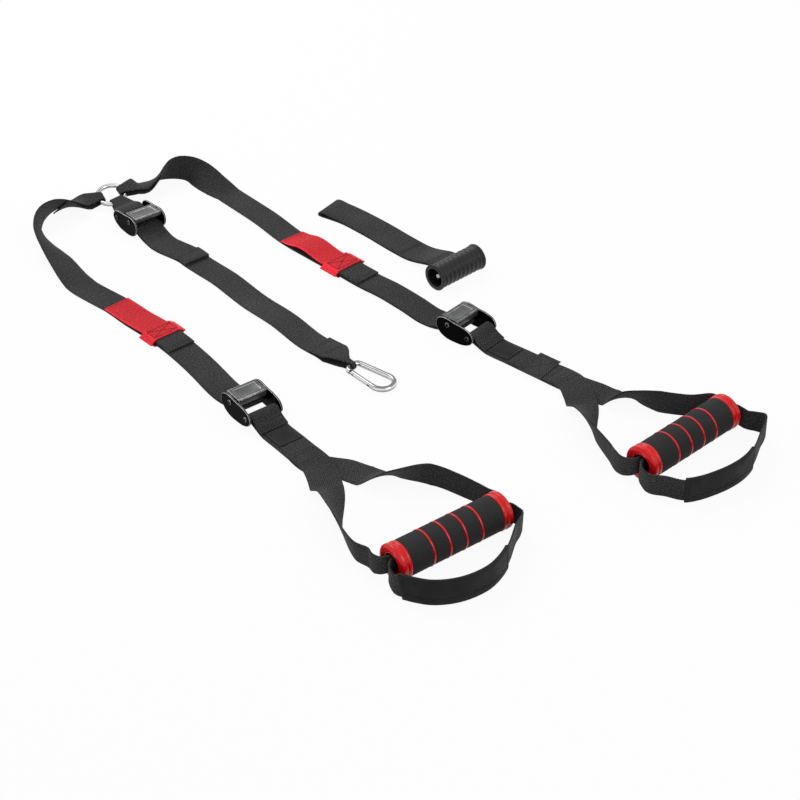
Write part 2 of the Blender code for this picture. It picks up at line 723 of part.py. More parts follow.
def buckle_frame_mesh():
    """Two cheeks joined by the base bar under the cam, drilled for the lever's pin and the anchor bar"""
    outline = [(x * BUCKLE_LENGTH, z * BUCKLE_HEIGHT) for x, z in cheek_outline_shares]
    cheek_middle = CHEEK_INSIDE + CHEEK_THICKNESS / 2
    nose = BASE_BAR_THICKNESS / 2
    back, front = BASE_BAR_FRONT - BASE_BAR_LENGTH, BASE_BAR_FRONT - nose
    bar = [(back, BASE_BAR_RISE + nose), (back, BASE_BAR_RISE - nose)]
    for i in range(TURN_STEPS + 1):
        angle = math.pi * (i / TURN_STEPS - 0.5)
        bar.append((front + nose * math.cos(angle), BASE_BAR_RISE + nose * math.sin(angle)))
    frame = plate(bar, 2 * cheek_middle, False)
    for side in (-1, 1):
        cheek = moved(plate(outline, CHEEK_THICKNESS, True),
                      Matrix.Translation((0, side * cheek_middle, 0)))
        frame = combined(frame, cheek, "UNION")
    for x, z, radius in ((LEVER_PIN_X, LEVER_PIN_RISE, LEVER_PIN_RADIUS),
                         (ANCHOR_BAR_X, ANCHOR_BAR_RISE, ANCHOR_BAR_RADIUS)):
        hole = rod(radius + FIT_GAP, PIN_SPAN + 2 * OVERRUN, PIN_STEPS)
        frame = combined(frame, moved(hole, Matrix.Translation((x, 0, z)) @ ALONG_Y), "DIFFERENCE")
    return frame


def lever_mesh():
    """The thumb plate with its front lip and the cam below it, in the pin's frame"""
    back, front = -LEVER_BACK_SHARE * LEVER_PLATE_LENGTH, (1 - LEVER_BACK_SHARE) * LEVER_PLATE_LENGTH
    top_back = BUCKLE_HEIGHT - LEVER_PIN_RISE + LEVER_RECESS_DEPTH
    top_front = top_back * LEVER_FRONT_SHARE
    wall = CAM_RADIUS * LEVER_WALL_SHARE
    lip_end = top_back - LEVER_LIP_LENGTH
    outline = [(back + wall, top_back - wall), (back + wall, lip_end), (back, lip_end),
               (back, top_back - wall / 2)]
    outline += [(back + wall / 2, top_back), (front - wall / 2, top_front), (front, top_front - wall / 2)]
    outline += [(front, -wall / 4), (front - wall * 0.8, -wall / 4), (front - wall, wall * 0.6)]
    for degrees in (-28, -48, -69, -90):
        angle = math.radians(degrees)
        outline.append((CAM_RADIUS * math.cos(angle), CAM_RADIUS * math.sin(angle)))
    for degrees in (-112, -135, -160, -185):
        angle = math.radians(degrees)
        outline.append((CAM_HEEL_RADIUS * math.cos(angle), CAM_HEEL_RADIUS * math.sin(angle)))
    lever = plate(outline, 2 * (CHEEK_INSIDE - LEVER_SIDE_GAP), False)
    slope = math.atan2(top_back - top_front, front - back - wall)
    middle = Vector(((back + front) / 2, 0, (top_back + top_front) / 2))
    pocket = box(LEVER_RECESS_LENGTH, LEVER_RECESS_WIDTH, 2 * LEVER_RECESS_DEPTH, (0, 0, 0))
    lever = combined(lever, moved(pocket, Matrix.Translation(middle) @ Matrix.Rotation(slope, 4, "Y")),
                     "DIFFERENCE")
    lever = combined(lever, moved(rod(LEVER_PIN_RADIUS + FIT_GAP, PIN_SPAN, PIN_STEPS), ALONG_Y),
                     "DIFFERENCE")
    return combined(lever, moved(rod(SPRING_POCKET_RADIUS, SPRING_POCKET_WIDTH, PIN_STEPS), ALONG_Y),
                    "DIFFERENCE")


def make_buckles():
    frame = buckle_frame_mesh()
    lever = lever_mesh()
    lever_pin = riveted_pin(LEVER_PIN_RADIUS, PIN_SPAN, RIVET_HEAD_RADIUS, RIVET_HEAD_THICKNESS)
    anchor_bar = riveted_pin(ANCHOR_BAR_RADIUS, PIN_SPAN, RIVET_HEAD_RADIUS, RIVET_HEAD_THICKNESS)
    spring_length = SPRING_POCKET_WIDTH - 2 * (LAYER_GAP + SPRING_WIRE_RADIUS)
    spring_radius = LEVER_PIN_RADIUS + 2 * FIT_GAP + SPRING_WIRE_RADIUS
    spring = moved(coil(spring_radius, SPRING_WIRE_RADIUS, SPRING_TURNS, spring_length), ALONG_Y)
    for name in BUCKLE_HEADINGS:
        base = empty(name + "_buckle", buckle_matrix(name))
        axis = empty(name + "_lever_axis", Matrix.Translation((LEVER_PIN_X, 0, LEVER_PIN_RISE)), base)
        bar_place = Matrix.Translation((ANCHOR_BAR_X, 0, ANCHOR_BAR_RISE))
        place_mesh(name + "_buckle_frame", frame, "black_metal", base)
        place_mesh(name + "_cam_lever", lever, "black_metal", axis)
        place_mesh(name + "_lever_pin", lever_pin, "spring_steel", axis)
        place_mesh(name + "_lever_spring", spring, "spring_steel", axis)
        place_mesh(name + "_anchor_bar", anchor_bar, "black_metal", base, bar_place)


def ring_frame():
    return Matrix.Translation(on_floor(*ring_place_shares, RING_RISE)) @ Matrix.Rotation(RING_TILT, 4, "X")


def make_ring():
    bpy.ops.mesh.primitive_torus_add(major_segments=RING_SEGMENTS, minor_segments=RING_WIRE_SEGMENTS,
                                     major_radius=RING_RADIUS, minor_radius=RING_WIRE_RADIUS)
    ring = bpy.context.object
    for collection in list(ring.users_collection):
        collection.objects.unlink(ring)
    MODEL.objects.link(ring)
    ring.name = "ring"
    ring.data.materials.append(finish("chrome"))
    ring.matrix_world = ring_frame()


def ring_axes(name):
    """The centre of an eye on the ring, the way its webbing leaves, its face normal and its side"""
    matrix = ring_frame()
    turn = matrix.to_3x3()
    angle = math.radians(RING_EYE_HEADINGS[name])
    outward = turn @ Vector((math.cos(angle), math.sin(angle), 0))
    normal = turn @ UP
    centre = matrix.translation + outward * (RING_REACH + RING_EYE_RADIUS)
    return centre, outward, normal, outward.cross(normal)


def ring_start(name, turned_over=1):
    """Stations straight out from an eye on the ring; turned_over is -1 for a flipped webbing"""
    centre, outward, _, side = ring_axes(name)
    side = side * turned_over
    past_wire = RING_RADIUS + 2 * RING_EYE_RADIUS - RING_REACH - RING_EYE_RADIUS
    spots = ((0, ""), (past_wire / 2, ""), (past_wire, "past wire"), (past_wire * 1.5, ""))
    width = RING_EYE_WIDTHS[name]
    return [Station(centre + outward * spot, side, width + spot * RING_EYE_SPREAD, mark) for spot,
            mark in spots]


def buckle_end(name):
    """Stations that bring a strap in flat behind the buckle, then up and under its base bar"""
    matrix = buckle_matrix(name)
    side = matrix.to_3x3() @ Vector((0, -1, 0))
    low = WEBBING_THICKNESS / 2
    front = BASE_BAR_FRONT - BASE_BAR_THICKNESS / 2
    under = BASE_BAR_RISE - TURN_RADIUS
    spots = ((-BUCKLE_ENTRY_LENGTH - BUCKLE_FLAT_LENGTH, low), (-BUCKLE_ENTRY_LENGTH, low),
             (-BUCKLE_LENGTH / 2, lerp(low, under, entry_rise_share)), (front - BASE_BAR_LENGTH,
                                                                        under), (front, under))
    return [Station(matrix @ Vector((x, 0, z)), side, WEBBING_WIDTH) for x, z in spots]


def buckle_turn(name):
    """The strap's turn round the front of the base bar, from below to above"""
    matrix = buckle_matrix(name)
    turn = matrix.to_3x3()
    centre = matrix @ Vector((BASE_BAR_FRONT - BASE_BAR_THICKNESS / 2, 0, BASE_BAR_RISE))
    return half_turn(centre, turn @ Vector((1, 0, 0)), -UP, turn @ Vector((0, -1, 0)), TURN_RADIUS,
                     WEBBING_WIDTH, inward=1)


def tail_heights(samples):
    """How high the tail lies over the main strap, most where it leaves the base bar at the route's end"""
    along = lengths(samples)
    flat, closed = BASE_BAR_LENGTH, BUCKLE_ENTRY_LENGTH
    return [lerp(2 * TURN_RADIUS, LAYER_STEP, ease((along[-1] - s - flat) / (closed - flat))) for s in along]


def eye_layers(route, eye_radius):
    """The main layer and the doubled layer of an eye at the route's start, one on each side of it"""
    along = lengths(route)
    last = next(i for i, s in enumerate(along) if s > DOUBLED_EYE_LENGTH)
    past_wire = (route[marked(route, "past wire")].place - route[0].place).length
    spread = [ease((s - past_wire) / EYE_CLOSING_LENGTH) for s in along]
    step = WEBBING_THICKNESS + EYE_END_GAP
    main, doubled = over_floor(route, [lerp(-eye_radius, 0, share) for share in spread],
                               [lerp(eye_radius, step, share) for share in spread])
    return main, doubled[:last + 1]


def adjustable_strap(name, buckle, route, eye_radius, tail_mark):
    """A strap with a sewn eye at its start, through the buckle and back on itself as a tail"""
    main, doubled = eye_layers(route, eye_radius)
    direction, side, normal = frames(route)[0]
    eye = half_turn(route[0].place, direction, normal, side, eye_radius, route[0].width)
    tail_start = marked(route, tail_mark)
    tail = lifted(route[tail_start:], tail_heights(route[tail_start:]))
    samples = [*reversed(doubled), *eye, *main, *buckle_turn(buckle), *reversed(tail)]
    ribbon(name, samples, WEBBING_THICKNESS, "webbing")


def make_anchor_loop():
    """A closed loop of webbing from the ring to the centre buckle's anchor bar"""
    centre, _, _, ring_side = ring_axes("centre")
    matrix = buckle_matrix("centre")
    turn = matrix.to_3x3()
    bar = matrix @ Vector((ANCHOR_BAR_X, 0, ANCHOR_BAR_RISE))
    back = turn @ Vector((-1, 0, 0))
    bar_side = turn @ Vector((0, 1, 0))
    past_bar = 2 * ANCHOR_EYE_RADIUS
    stations = [*ring_start("centre"), Station(bar - back * past_bar, bar_side, WEBBING_WIDTH),
                Station(bar - back * past_bar / 2, bar_side, WEBBING_WIDTH), Station(bar, bar_side,
                                                                                     WEBBING_WIDTH)]
    route = smooth(stations, FINE_PITCH)
    along = lengths(route)
    past_ring = along[marked(route, "past wire")]
    spread = []
    for s in along:
        ring_share = 1 - ease((s - past_ring) / EYE_CLOSING_LENGTH)
        bar_share = 1 - ease((along[-1] - s - past_bar) / (EYE_CLOSING_LENGTH / 2))
        at_ring = ring_share * (RING_EYE_RADIUS - LAYER_STEP / 2)
        spread.append(LAYER_STEP / 2 + at_ring + bar_share * (ANCHOR_EYE_RADIUS - LAYER_STEP / 2))
    upper, lower = over_floor(route, spread, [-s for s in spread])
    start, end = frames(route)[0], frames(route)[-1]
    ring_eye = half_turn(route[0].place, start[0], -start[2], start[1], RING_EYE_RADIUS, route[0].width)
    bar_eye = half_turn(route[-1].place, end[0], end[2], end[1], ANCHOR_EYE_RADIUS, WEBBING_WIDTH, inward=1)
    samples = [*upper, *bar_eye, *reversed(lower), *ring_eye]
    ribbon("anchor_loop", samples, WEBBING_THICKNESS, "webbing", closed=True)


def make_adjuster(name, route):
    """The red sleeve and pull tab, and the folded end of the tail, where the tail meets the main strap"""
    start, middle, end = (marked(route, "sleeve " + mark) for mark in ("start", "middle", "end"))
    inside_top = WEBBING_THICKNESS / 2 + 2 * LAYER_GAP + WEBBING_THICKNESS + HEM_THICKNESS + FIT_GAP
    inside_bottom = -WEBBING_THICKNESS / 2 - FIT_GAP
    half_height = (inside_top - inside_bottom) / 2 + SLEEVE_WALL / 2
    lift = (inside_top + inside_bottom) / 2
    flat_sleeve(name + "_adjuster_sleeve", route, start, end, half_height, SLEEVE_WALL, lift,
                SLEEVE_OVERHANG + half_height, "red_webbing")
    hem_lift = LAYER_STEP + WEBBING_THICKNESS / 2 + LAYER_GAP + HEM_THICKNESS / 2
    hem = route[middle:marked(route, "hem end") + 1]
    first = hem[0].place.lerp(hem[1].place, 0.2)
    hem = [Station(first, hem[0].side, hem[0].width), *hem[1:]]
    ribbon(name + "_tail_hem", lifted(hem, [hem_lift] * len(hem)), HEM_THICKNESS, "webbing")
    tab = route[marked(route, "tab end"):middle + 1]
    last = tab[-1].place.lerp(tab[-2].place, 0.2)
    tab = [*tab[:-1], Station(last, tab[-1].side, tab[-1].width)]
    along = lengths(tab)
    outside = along[-1] - (SLEEVE_LENGTH_SHARE * along[-1])
    heights = []
    for s in along:
        share = min(1, s / outside)
        arch = TAB_ARCH_HEIGHTS[name] * math.sin(math.pi * share) ** 2
        heights.append(lerp(LAYER_STEP, 2 * LAYER_STEP, ease(share * 2 - 1)) + arch)
    ribbon(name + "_pull_tab", lifted(tab, heights), WEBBING_THICKNESS, "red_webbing")


def make_leg(name, table):
    route = settled(smooth(floor_route(table, ring_start(name, -1), buckle_end(name)), FINE_PITCH, 8))
    adjustable_strap(name + "_leg_strap", name, route, RING_EYE_RADIUS, "sleeve start")
    make_adjuster(name, route)


def carabiner_sides():
    """The corner and end circles' middles, and the slope of the straight sides between them"""
    corner = Vector((CARABINER_CORNER_RADIUS, CARABINER_SEAT_WIDTH / 2, 0))
    end = Vector((CARABINER_LENGTH - CARABINER_END_RADIUS, 0, 0))
    across = corner - end
    grow = CARABINER_END_RADIUS - CARABINER_CORNER_RADIUS
    slope = math.asin(grow / across.length) - math.atan2(corner.y, -across.x)
    return corner, end, slope


def arc_points(centre, radius, start, end, steps):
    points = []
    for i in range(steps + 1):
        angle = lerp(start, end, i / steps)
        points.append(centre + Vector((radius * math.cos(angle), radius * math.sin(angle), 0)))
    return points


def carabiner_matrix():
    """The seat wire's middle, over the webbing that passes under it, with the tip resting on the floor"""
    place = on_floor(*carabiner_place_shares, CARABINER_EYE_RADIUS + WEBBING_THICKNESS / 2 + FIT_GAP)
    pitch = math.asin((place.z - CARABINER_WIRE_RADIUS) / CARABINER_LENGTH)
    return Matrix.Translation(place) @ Matrix.Rotation(math.radians(CARABINER_HEADING), 4,
                                                       "Z") @ Matrix.Rotation(pitch, 4, "Y")


def make_carabiner():
    """A pear-shaped wire with a sprung gate along its right-hand side"""
    corner, end, slope = carabiner_sides()
    quarter = math.pi / 2
    left = arc_points(corner, CARABINER_CORNER_RADIUS, 2 * quarter, quarter + slope, 4)
    right = [Vector((p.x, -p.y, 0)) for p in left]
    tip = arc_points(end, CARABINER_END_RADIUS, quarter + slope, -quarter - slope, 14)
    along = (tip[-1] - right[-1]).normalized()
    side_length = (tip[-1] - right[-1]).length
    pin = right[-1] + along * GATE_PIN_INSET
    back = pin - along * (CARABINER_WIRE_RADIUS + GATE_BODY_GAP)
    gate_length = side_length - GATE_PIN_INSET - GATE_NOSE_LENGTH
    nose = pin + along * (gate_length + GATE_BODY_GAP)
    body = wire([back, *reversed(right), *left, *tip, nose], CARABINER_WIRE_RADIUS, 2)
    line = Matrix.Translation(pin) @ Matrix.Rotation(math.atan2(along.y, along.x), 4, "Z")
    tongue_start = -CARABINER_WIRE_RADIUS - OVERRUN
    tongue_end = CARABINER_WIRE_RADIUS * 0.75
    tongue = box(tongue_end - tongue_start, CARABINER_WIRE_RADIUS * 1.4, GATE_TONGUE_THICKNESS,
                 ((tongue_start + tongue_end) / 2, 0, 0))
    body = combined(body, moved(tongue, line), "UNION")
    nose_start = gate_length + GATE_BODY_GAP - GATE_NOSE_LENGTH
    catch = box(GATE_NOSE_LENGTH + OVERRUN, CARABINER_WIRE_RADIUS * 1.3, GATE_NOSE_THICKNESS,
                (nose_start + (GATE_NOSE_LENGTH + OVERRUN) / 2, 0, 0))
    body = combined(body, moved(catch, line), "UNION")
    pin_hole = rod(GATE_PIN_RADIUS + FIT_GAP, CARABINER_WIRE_RADIUS * 3, PIN_STEPS)
    body = combined(body, moved(pin_hole, line), "DIFFERENCE")

    radius = CARABINER_WIRE_RADIUS - FIT_GAP
    profile = [(0, gate_length), (radius * 0.9, gate_length), (radius, gate_length - radius * 0.1)]
    dome = [-quarter * i / 3 for i in range(3)]
    profile += [(radius * math.cos(angle), radius * math.sin(angle)) for angle in dome]
    gate = moved(turned([*profile, (0, -radius)], PIN_STEPS), Matrix.Rotation(quarter, 4, "Y"))
    slot_end = CARABINER_WIRE_RADIUS * 1.12
    slot = box(slot_end + 2 * radius, 4 * radius, GATE_TONGUE_THICKNESS + 2 * FIT_GAP,
               (slot_end / 2 - radius, 0, 0))
    gate = combined(gate, slot, "DIFFERENCE")
    catch_room = GATE_NOSE_LENGTH + FIT_GAP
    slot = box(catch_room + OVERRUN, 4 * radius, GATE_NOSE_THICKNESS + 2 * FIT_GAP,
               (gate_length - catch_room / 2 + OVERRUN / 2, 0, 0))
    gate = combined(gate, slot, "DIFFERENCE")
    bore = moved(rod(GATE_BORE_RADIUS, GATE_BORE_LENGTH + OVERRUN, PIN_STEPS),
                 Matrix.Translation((slot_end + (GATE_BORE_LENGTH - OVERRUN) / 2, 0,
                                     0)) @ Matrix.Rotation(quarter, 4, "Y"))
    gate = combined(gate, bore, "DIFFERENCE")
    gate = combined(gate, rod(GATE_PIN_RADIUS + FIT_GAP, CARABINER_WIRE_RADIUS * 3, PIN_STEPS),
                    "DIFFERENCE")
    spring_length = GATE_BORE_LENGTH - 2 * (FIT_GAP + GATE_SPRING_WIRE_RADIUS)
    spring = moved(coil(GATE_SPRING_RADIUS, GATE_SPRING_WIRE_RADIUS, GATE_SPRING_TURNS, spring_length),
                   Matrix.Translation((slot_end + GATE_BORE_LENGTH / 2, 0, 0)) @ Matrix.Rotation(quarter,
                                                                                                 4, "Y"))

    base = empty("carabiner", carabiner_matrix())
    axis = empty("gate_axis", line, base)
    place_mesh("carabiner_body", body, "chrome", base)
    place_mesh("carabiner_gate", gate, "chrome", axis)
    place_mesh("carabiner_gate_pin", rod(GATE_PIN_RADIUS, 1.9 * radius, PIN_STEPS), "spring_steel", axis)
    place_mesh("carabiner_gate_spring", spring, "spring_steel", axis)


def make_centre_strap():
    """The strap between the centre buckle and the carabiner, with the folded end of its tail"""
    place = carabiner_matrix().translation
    back = -heading_vector(CARABINER_HEADING)
    side = back.cross(UP)
    past_wire = place + back * 2 * CARABINER_EYE_RADIUS
    start = [Station(place, side, CARABINER_EYE_WIDTH),
             Station(past_wire, side, 1.6 * CARABINER_EYE_WIDTH, "past wire")]
    route = settled(smooth(floor_route(centre_strap_shares, start, buckle_end("centre")), FINE_PITCH, 3))
    adjustable_strap("centre_strap", "centre", route, CARABINER_EYE_RADIUS, "hem end")
    hem = route[marked(route, "hem end"):marked(route, "hem start") + 1]
    hem_lift = LAYER_STEP + WEBBING_THICKNESS / 2 + LAYER_GAP + WEBBING_THICKNESS / 2
    ribbon("centre_tail_hem", lifted(hem, [hem_lift] * len(hem)), WEBBING_THICKNESS, "webbing")


def grip_matrix(name):
    place = on_floor(*grip_place_shares[name], CAP_FLANGE_RADIUS)
    return Matrix.Translation(place) @ Matrix.Rotation(math.radians(GRIP_HEADINGS[name]), 4, "Z")


def make_grips():
    """Foam sleeves with red rings in their grooves, on a red tube with a flanged cap at each end"""
    half = GRIP_LENGTH / 2
    foam_half = half - CAP_LENGTH - FIT_GAP
    core_half = half - CAP_LIP_LENGTH - FIT_GAP
    bore = CORE_RADIUS + FIT_GAP
    core = [(CORE_RADIUS, core_half), (CORE_RADIUS, -core_half), (CORE_BORE_RADIUS, -core_half),
            (CORE_BORE_RADIUS, core_half)]
    foam = [(bore, foam_half), (FOAM_RADIUS, foam_half)]
    stripes = []
    for share in reversed(stripe_place_shares):
        middle = lerp(-foam_half, foam_half, share)
        reach = STRIPE_WIDTH / 2 + FIT_GAP
        bottom = FOAM_RADIUS - STRIPE_DEPTH - FIT_GAP
        foam += [(FOAM_RADIUS, middle + reach), (bottom, middle + reach), (bottom, middle - reach),
                 (FOAM_RADIUS, middle - reach)]
        stripes.append(middle)
    foam += [(FOAM_RADIUS, -foam_half), (bore, -foam_half)]
    edges = [half - CAP_LENGTH * (1 - share) for share in cap_step_shares]
    rim = [(CAP_FACE_RADIUS, half), (CAP_FLANGE_RADIUS, edges[3]), (CAP_FLANGE_RADIUS, edges[2])]
    rim += [(CAP_GROOVE_RADIUS, edges[1]), (CAP_RING_RADIUS, edges[0]), (CAP_RING_RADIUS, half - CAP_LENGTH)]
    bore_side = [(bore, half - CAP_LENGTH), (bore, half - CAP_LIP_LENGTH)]
    bore_side += [(CORE_BORE_RADIUS, half - CAP_LIP_LENGTH), (CORE_BORE_RADIUS, half - CAP_LIP_LENGTH / 2)]
    bore_side.append((CORE_BORE_RADIUS + FIT_GAP * 4, half))
    cap = rim + bore_side
    along = Matrix.Rotation(math.pi / 2, 4, "Y")
    core_mesh = moved(turned(core, GRIP_STEPS, closed=True), along)
    foam_mesh = moved(turned(foam, GRIP_STEPS, closed=True), along)
    cap_mesh = moved(turned(cap, GRIP_STEPS, closed=True), along)
    inner, outer = FOAM_RADIUS - STRIPE_DEPTH, FOAM_RADIUS + STRIPE_PROUD
    high, low = STRIPE_WIDTH / 2, -STRIPE_WIDTH / 2
    stripe_mesh = moved(turned([(outer, high), (outer, low), (inner, low), (inner, high)], GRIP_STEPS,
                               closed=True), along)
    for name in GRIP_HEADINGS:
        axis = empty(name + "_grip_axis", grip_matrix(name))
        place_mesh(name + "_grip_core", core_mesh, "red_plastic", axis)
        place_mesh(name + "_grip_foam", foam_mesh, "foam", axis)
        for i, middle in enumerate(stripes):
            stripe_place = Matrix.Translation((middle, 0, 0))
            place_mesh(name + "_grip_stripe_" + "abcd"[i], stripe_mesh, "red_plastic", axis, stripe_place)
        place_mesh(name + "_grip_far_cap", cap_mesh, "red_plastic", axis)
        place_mesh(name + "_grip_near_cap", cap_mesh, "red_plastic", axis, Matrix.Rotation(math.pi, 4, "Z"))


def bore_stations(name, sideways, turn_shares, reverse):
    """Stations through the grip from its near end, or its far end if reversed, on one side of the bore"""
    matrix = grip_matrix(name)
    half = GRIP_LENGTH / 2
    offset = (WEBBING_THICKNESS / 2 + BORE_LAYER_GAP) * sideways
    spots = [(-half - past * CAP_FLANGE_RADIUS, across * CAP_FLANGE_RADIUS * sideways, k) for k,
             (past, across) in enumerate(turn_shares)]
    inside = (half - CAP_LIP_LENGTH / 2, half - CAP_LENGTH, half - 2 * CAP_LENGTH)
    spots += [(-x, offset, None) for x in inside] + [(x, offset, None) for x in reversed(inside)]
    spots += [(-x, y, k) for x, y, k in reversed(spots[:len(turn_shares)])]
    stations = []
    for x, y, k in spots:
        share = 1 if k is None else (k + 1) / (len(turn_shares) + 1)
        stations.append((matrix @ Vector((x, y, 0)), share))
    if reverse:
        stations.reverse()
    full = FOOT_WEBBING_WIDTH if sideways < 0 else lerp(WEBBING_WIDTH, BORE_WEBBING_WIDTH, 0.55)
    result = []
    for place, share in stations:
        wide = lerp(full, BORE_WEBBING_WIDTH, share)
        low = Vector((place.x, place.y, wide / 2))
        result.append(Station(low.lerp(place, ease(share)), UP, wide))
    return result


def branch_stations(table):
    """Handle webbing between the yoke and a cap, from its table of floor shares"""
    result = []
    for x_share, y_share, tilt, lift, width_share in table:
        width = WEBBING_WIDTH * width_share
        result.append((on_floor(x_share, y_share, resting_height(width, tilt, lift)), tilt, width))
    return result


def yoke_station(name, distance, layer):
    """A place past the anchor bar, in one of the layers that come down from the bar to the floor"""
    matrix = buckle_matrix(name)
    drop = ANCHOR_BAR_RISE - ANCHOR_EYE_RADIUS - WEBBING_THICKNESS / 2
    rise = WEBBING_THICKNESS / 2 + layer * LAYER_STEP + drop * (1 - ease(distance / HEM_DISTANCE))
    return Station(matrix @ Vector((ANCHOR_BAR_X + distance, 0, rise)),
                   matrix.to_3x3() @ Vector((0, -1, 0)), WEBBING_WIDTH)


def make_handle(name):
    """Webbing from the anchor bar through the grip and back, with its label, patch, foot loop and pad"""
    matrix = buckle_matrix(name)
    turn = matrix.to_3x3()
    forward, side = turn @ Vector((1, 0, 0)), turn @ Vector((0, -1, 0))
    bar = matrix @ Vector((ANCHOR_BAR_X, 0, ANCHOR_BAR_RISE))
    length = YOKE_LENGTHS[name]

    top = [Station(bar + UP * ANCHOR_EYE_RADIUS, side, WEBBING_WIDTH),
           Station(bar + (UP + forward) * ANCHOR_EYE_RADIUS, side, WEBBING_WIDTH),
           yoke_station(name, HEM_DISTANCE * 0.55, 2.6), yoke_station(name, HEM_DISTANCE, 2)]
    bottom = [Station(bar - UP * ANCHOR_EYE_RADIUS, side, WEBBING_WIDTH),
              yoke_station(name, HEM_DISTANCE * 0.55, 0)]
    bottom += [yoke_station(name, lerp(HEM_DISTANCE, length, share), 0) for share in (0, 0.33, 0.67, 1)]
    middle = [yoke_station(name, lerp(HEM_DISTANCE, length, share), 1) for share in (1, 0.67, 0.33, 0)]
    middle += [yoke_station(name, HEM_DISTANCE * 0.6, 1.15)]

    far = branch_stations(far_branch_shares[name])
    near = branch_stations(near_branch_shares[name])
    bore = bore_stations(name, 1, cap_turn_shares, True)
    line = [bottom[-1].place, *[row[0] for row in far], bore[0].place]
    far = [Station(p, tilted_side(line[i + 2] - line[i], tilt), width) for i,
           (p, tilt, width) in enumerate(far)]
    line = [bore[-1].place, *[row[0] for row in near], middle[0].place]
    near = [Station(p, tilted_side(line[i + 2] - line[i], tilt), width) for i,
            (p, tilt, width) in enumerate(near)]

    eye = half_turn(bar, forward, UP, side, ANCHOR_EYE_RADIUS, WEBBING_WIDTH)
    samples = [*reversed(smooth(top)), *eye, *settled(smooth([*bottom, *far, *bore, *near, *middle]))]
    ribbon(name + "_handle_strap", samples, WEBBING_THICKNESS, "webbing", pivot=bar)

    label_rise = 1 + (WEBBING_THICKNESS / 2 + FIT_GAP + LABEL_THICKNESS / 2) / LAYER_STEP
    spots = [HEM_DISTANCE + LABEL_LENGTH * share for share in (0.06, 0.5, 1)]
    label = with_width([yoke_station(name, spot, label_rise) for spot in spots], LABEL_WIDTH)
    ribbon(name + "_label", label, LABEL_THICKNESS, "label", pivot=bar)
    if name == "right":
        patch_rise = 1 + (WEBBING_THICKNESS / 2 + FIT_GAP + PATCH_THICKNESS / 2) / LAYER_STEP
        spots = [PATCH_START + PATCH_LENGTH * share for share in (0, 0.5, 1)]
        patch = with_width([yoke_station(name, spot, patch_rise) for spot in spots],
                           WEBBING_WIDTH + 2 * PATCH_OVERHANG)
        ribbon(name + "_yoke_patch", patch, PATCH_THICKNESS, "webbing", pivot=bar)

    loop = bore_stations(name, -1, foot_turn_shares, False)
    for x_share, y_share, mark in foot_loop_shares[name]:
        loop.append(Station(on_floor(x_share, y_share, FOOT_RISE), UP, FOOT_WEBBING_WIDTH, mark))
    loop.append(loop[0])
    samples = smooth(loop)[:-1]
    ribbon(name + "_foot_strap", samples, WEBBING_THICKNESS, "webbing", closed=True, pivot=bar)
    start, end = marked(samples, "pad start"), marked(samples, "pad end")
    pad = flat_sleeve(name + "_foot_pad", samples, start, end, PAD_HALF_HEIGHT, PAD_WALL, 0,
                      PAD_HALF_HEIGHT, "pad_fabric")
    with_pivot(pad, bar)


def roller_matrix():
    place = on_floor(*roller_place_shares, ROLLER_RIM_RADIUS)
    return Matrix.Translation(place) @ Matrix.Rotation(math.radians(ROLLER_HEADING), 4, "Z")


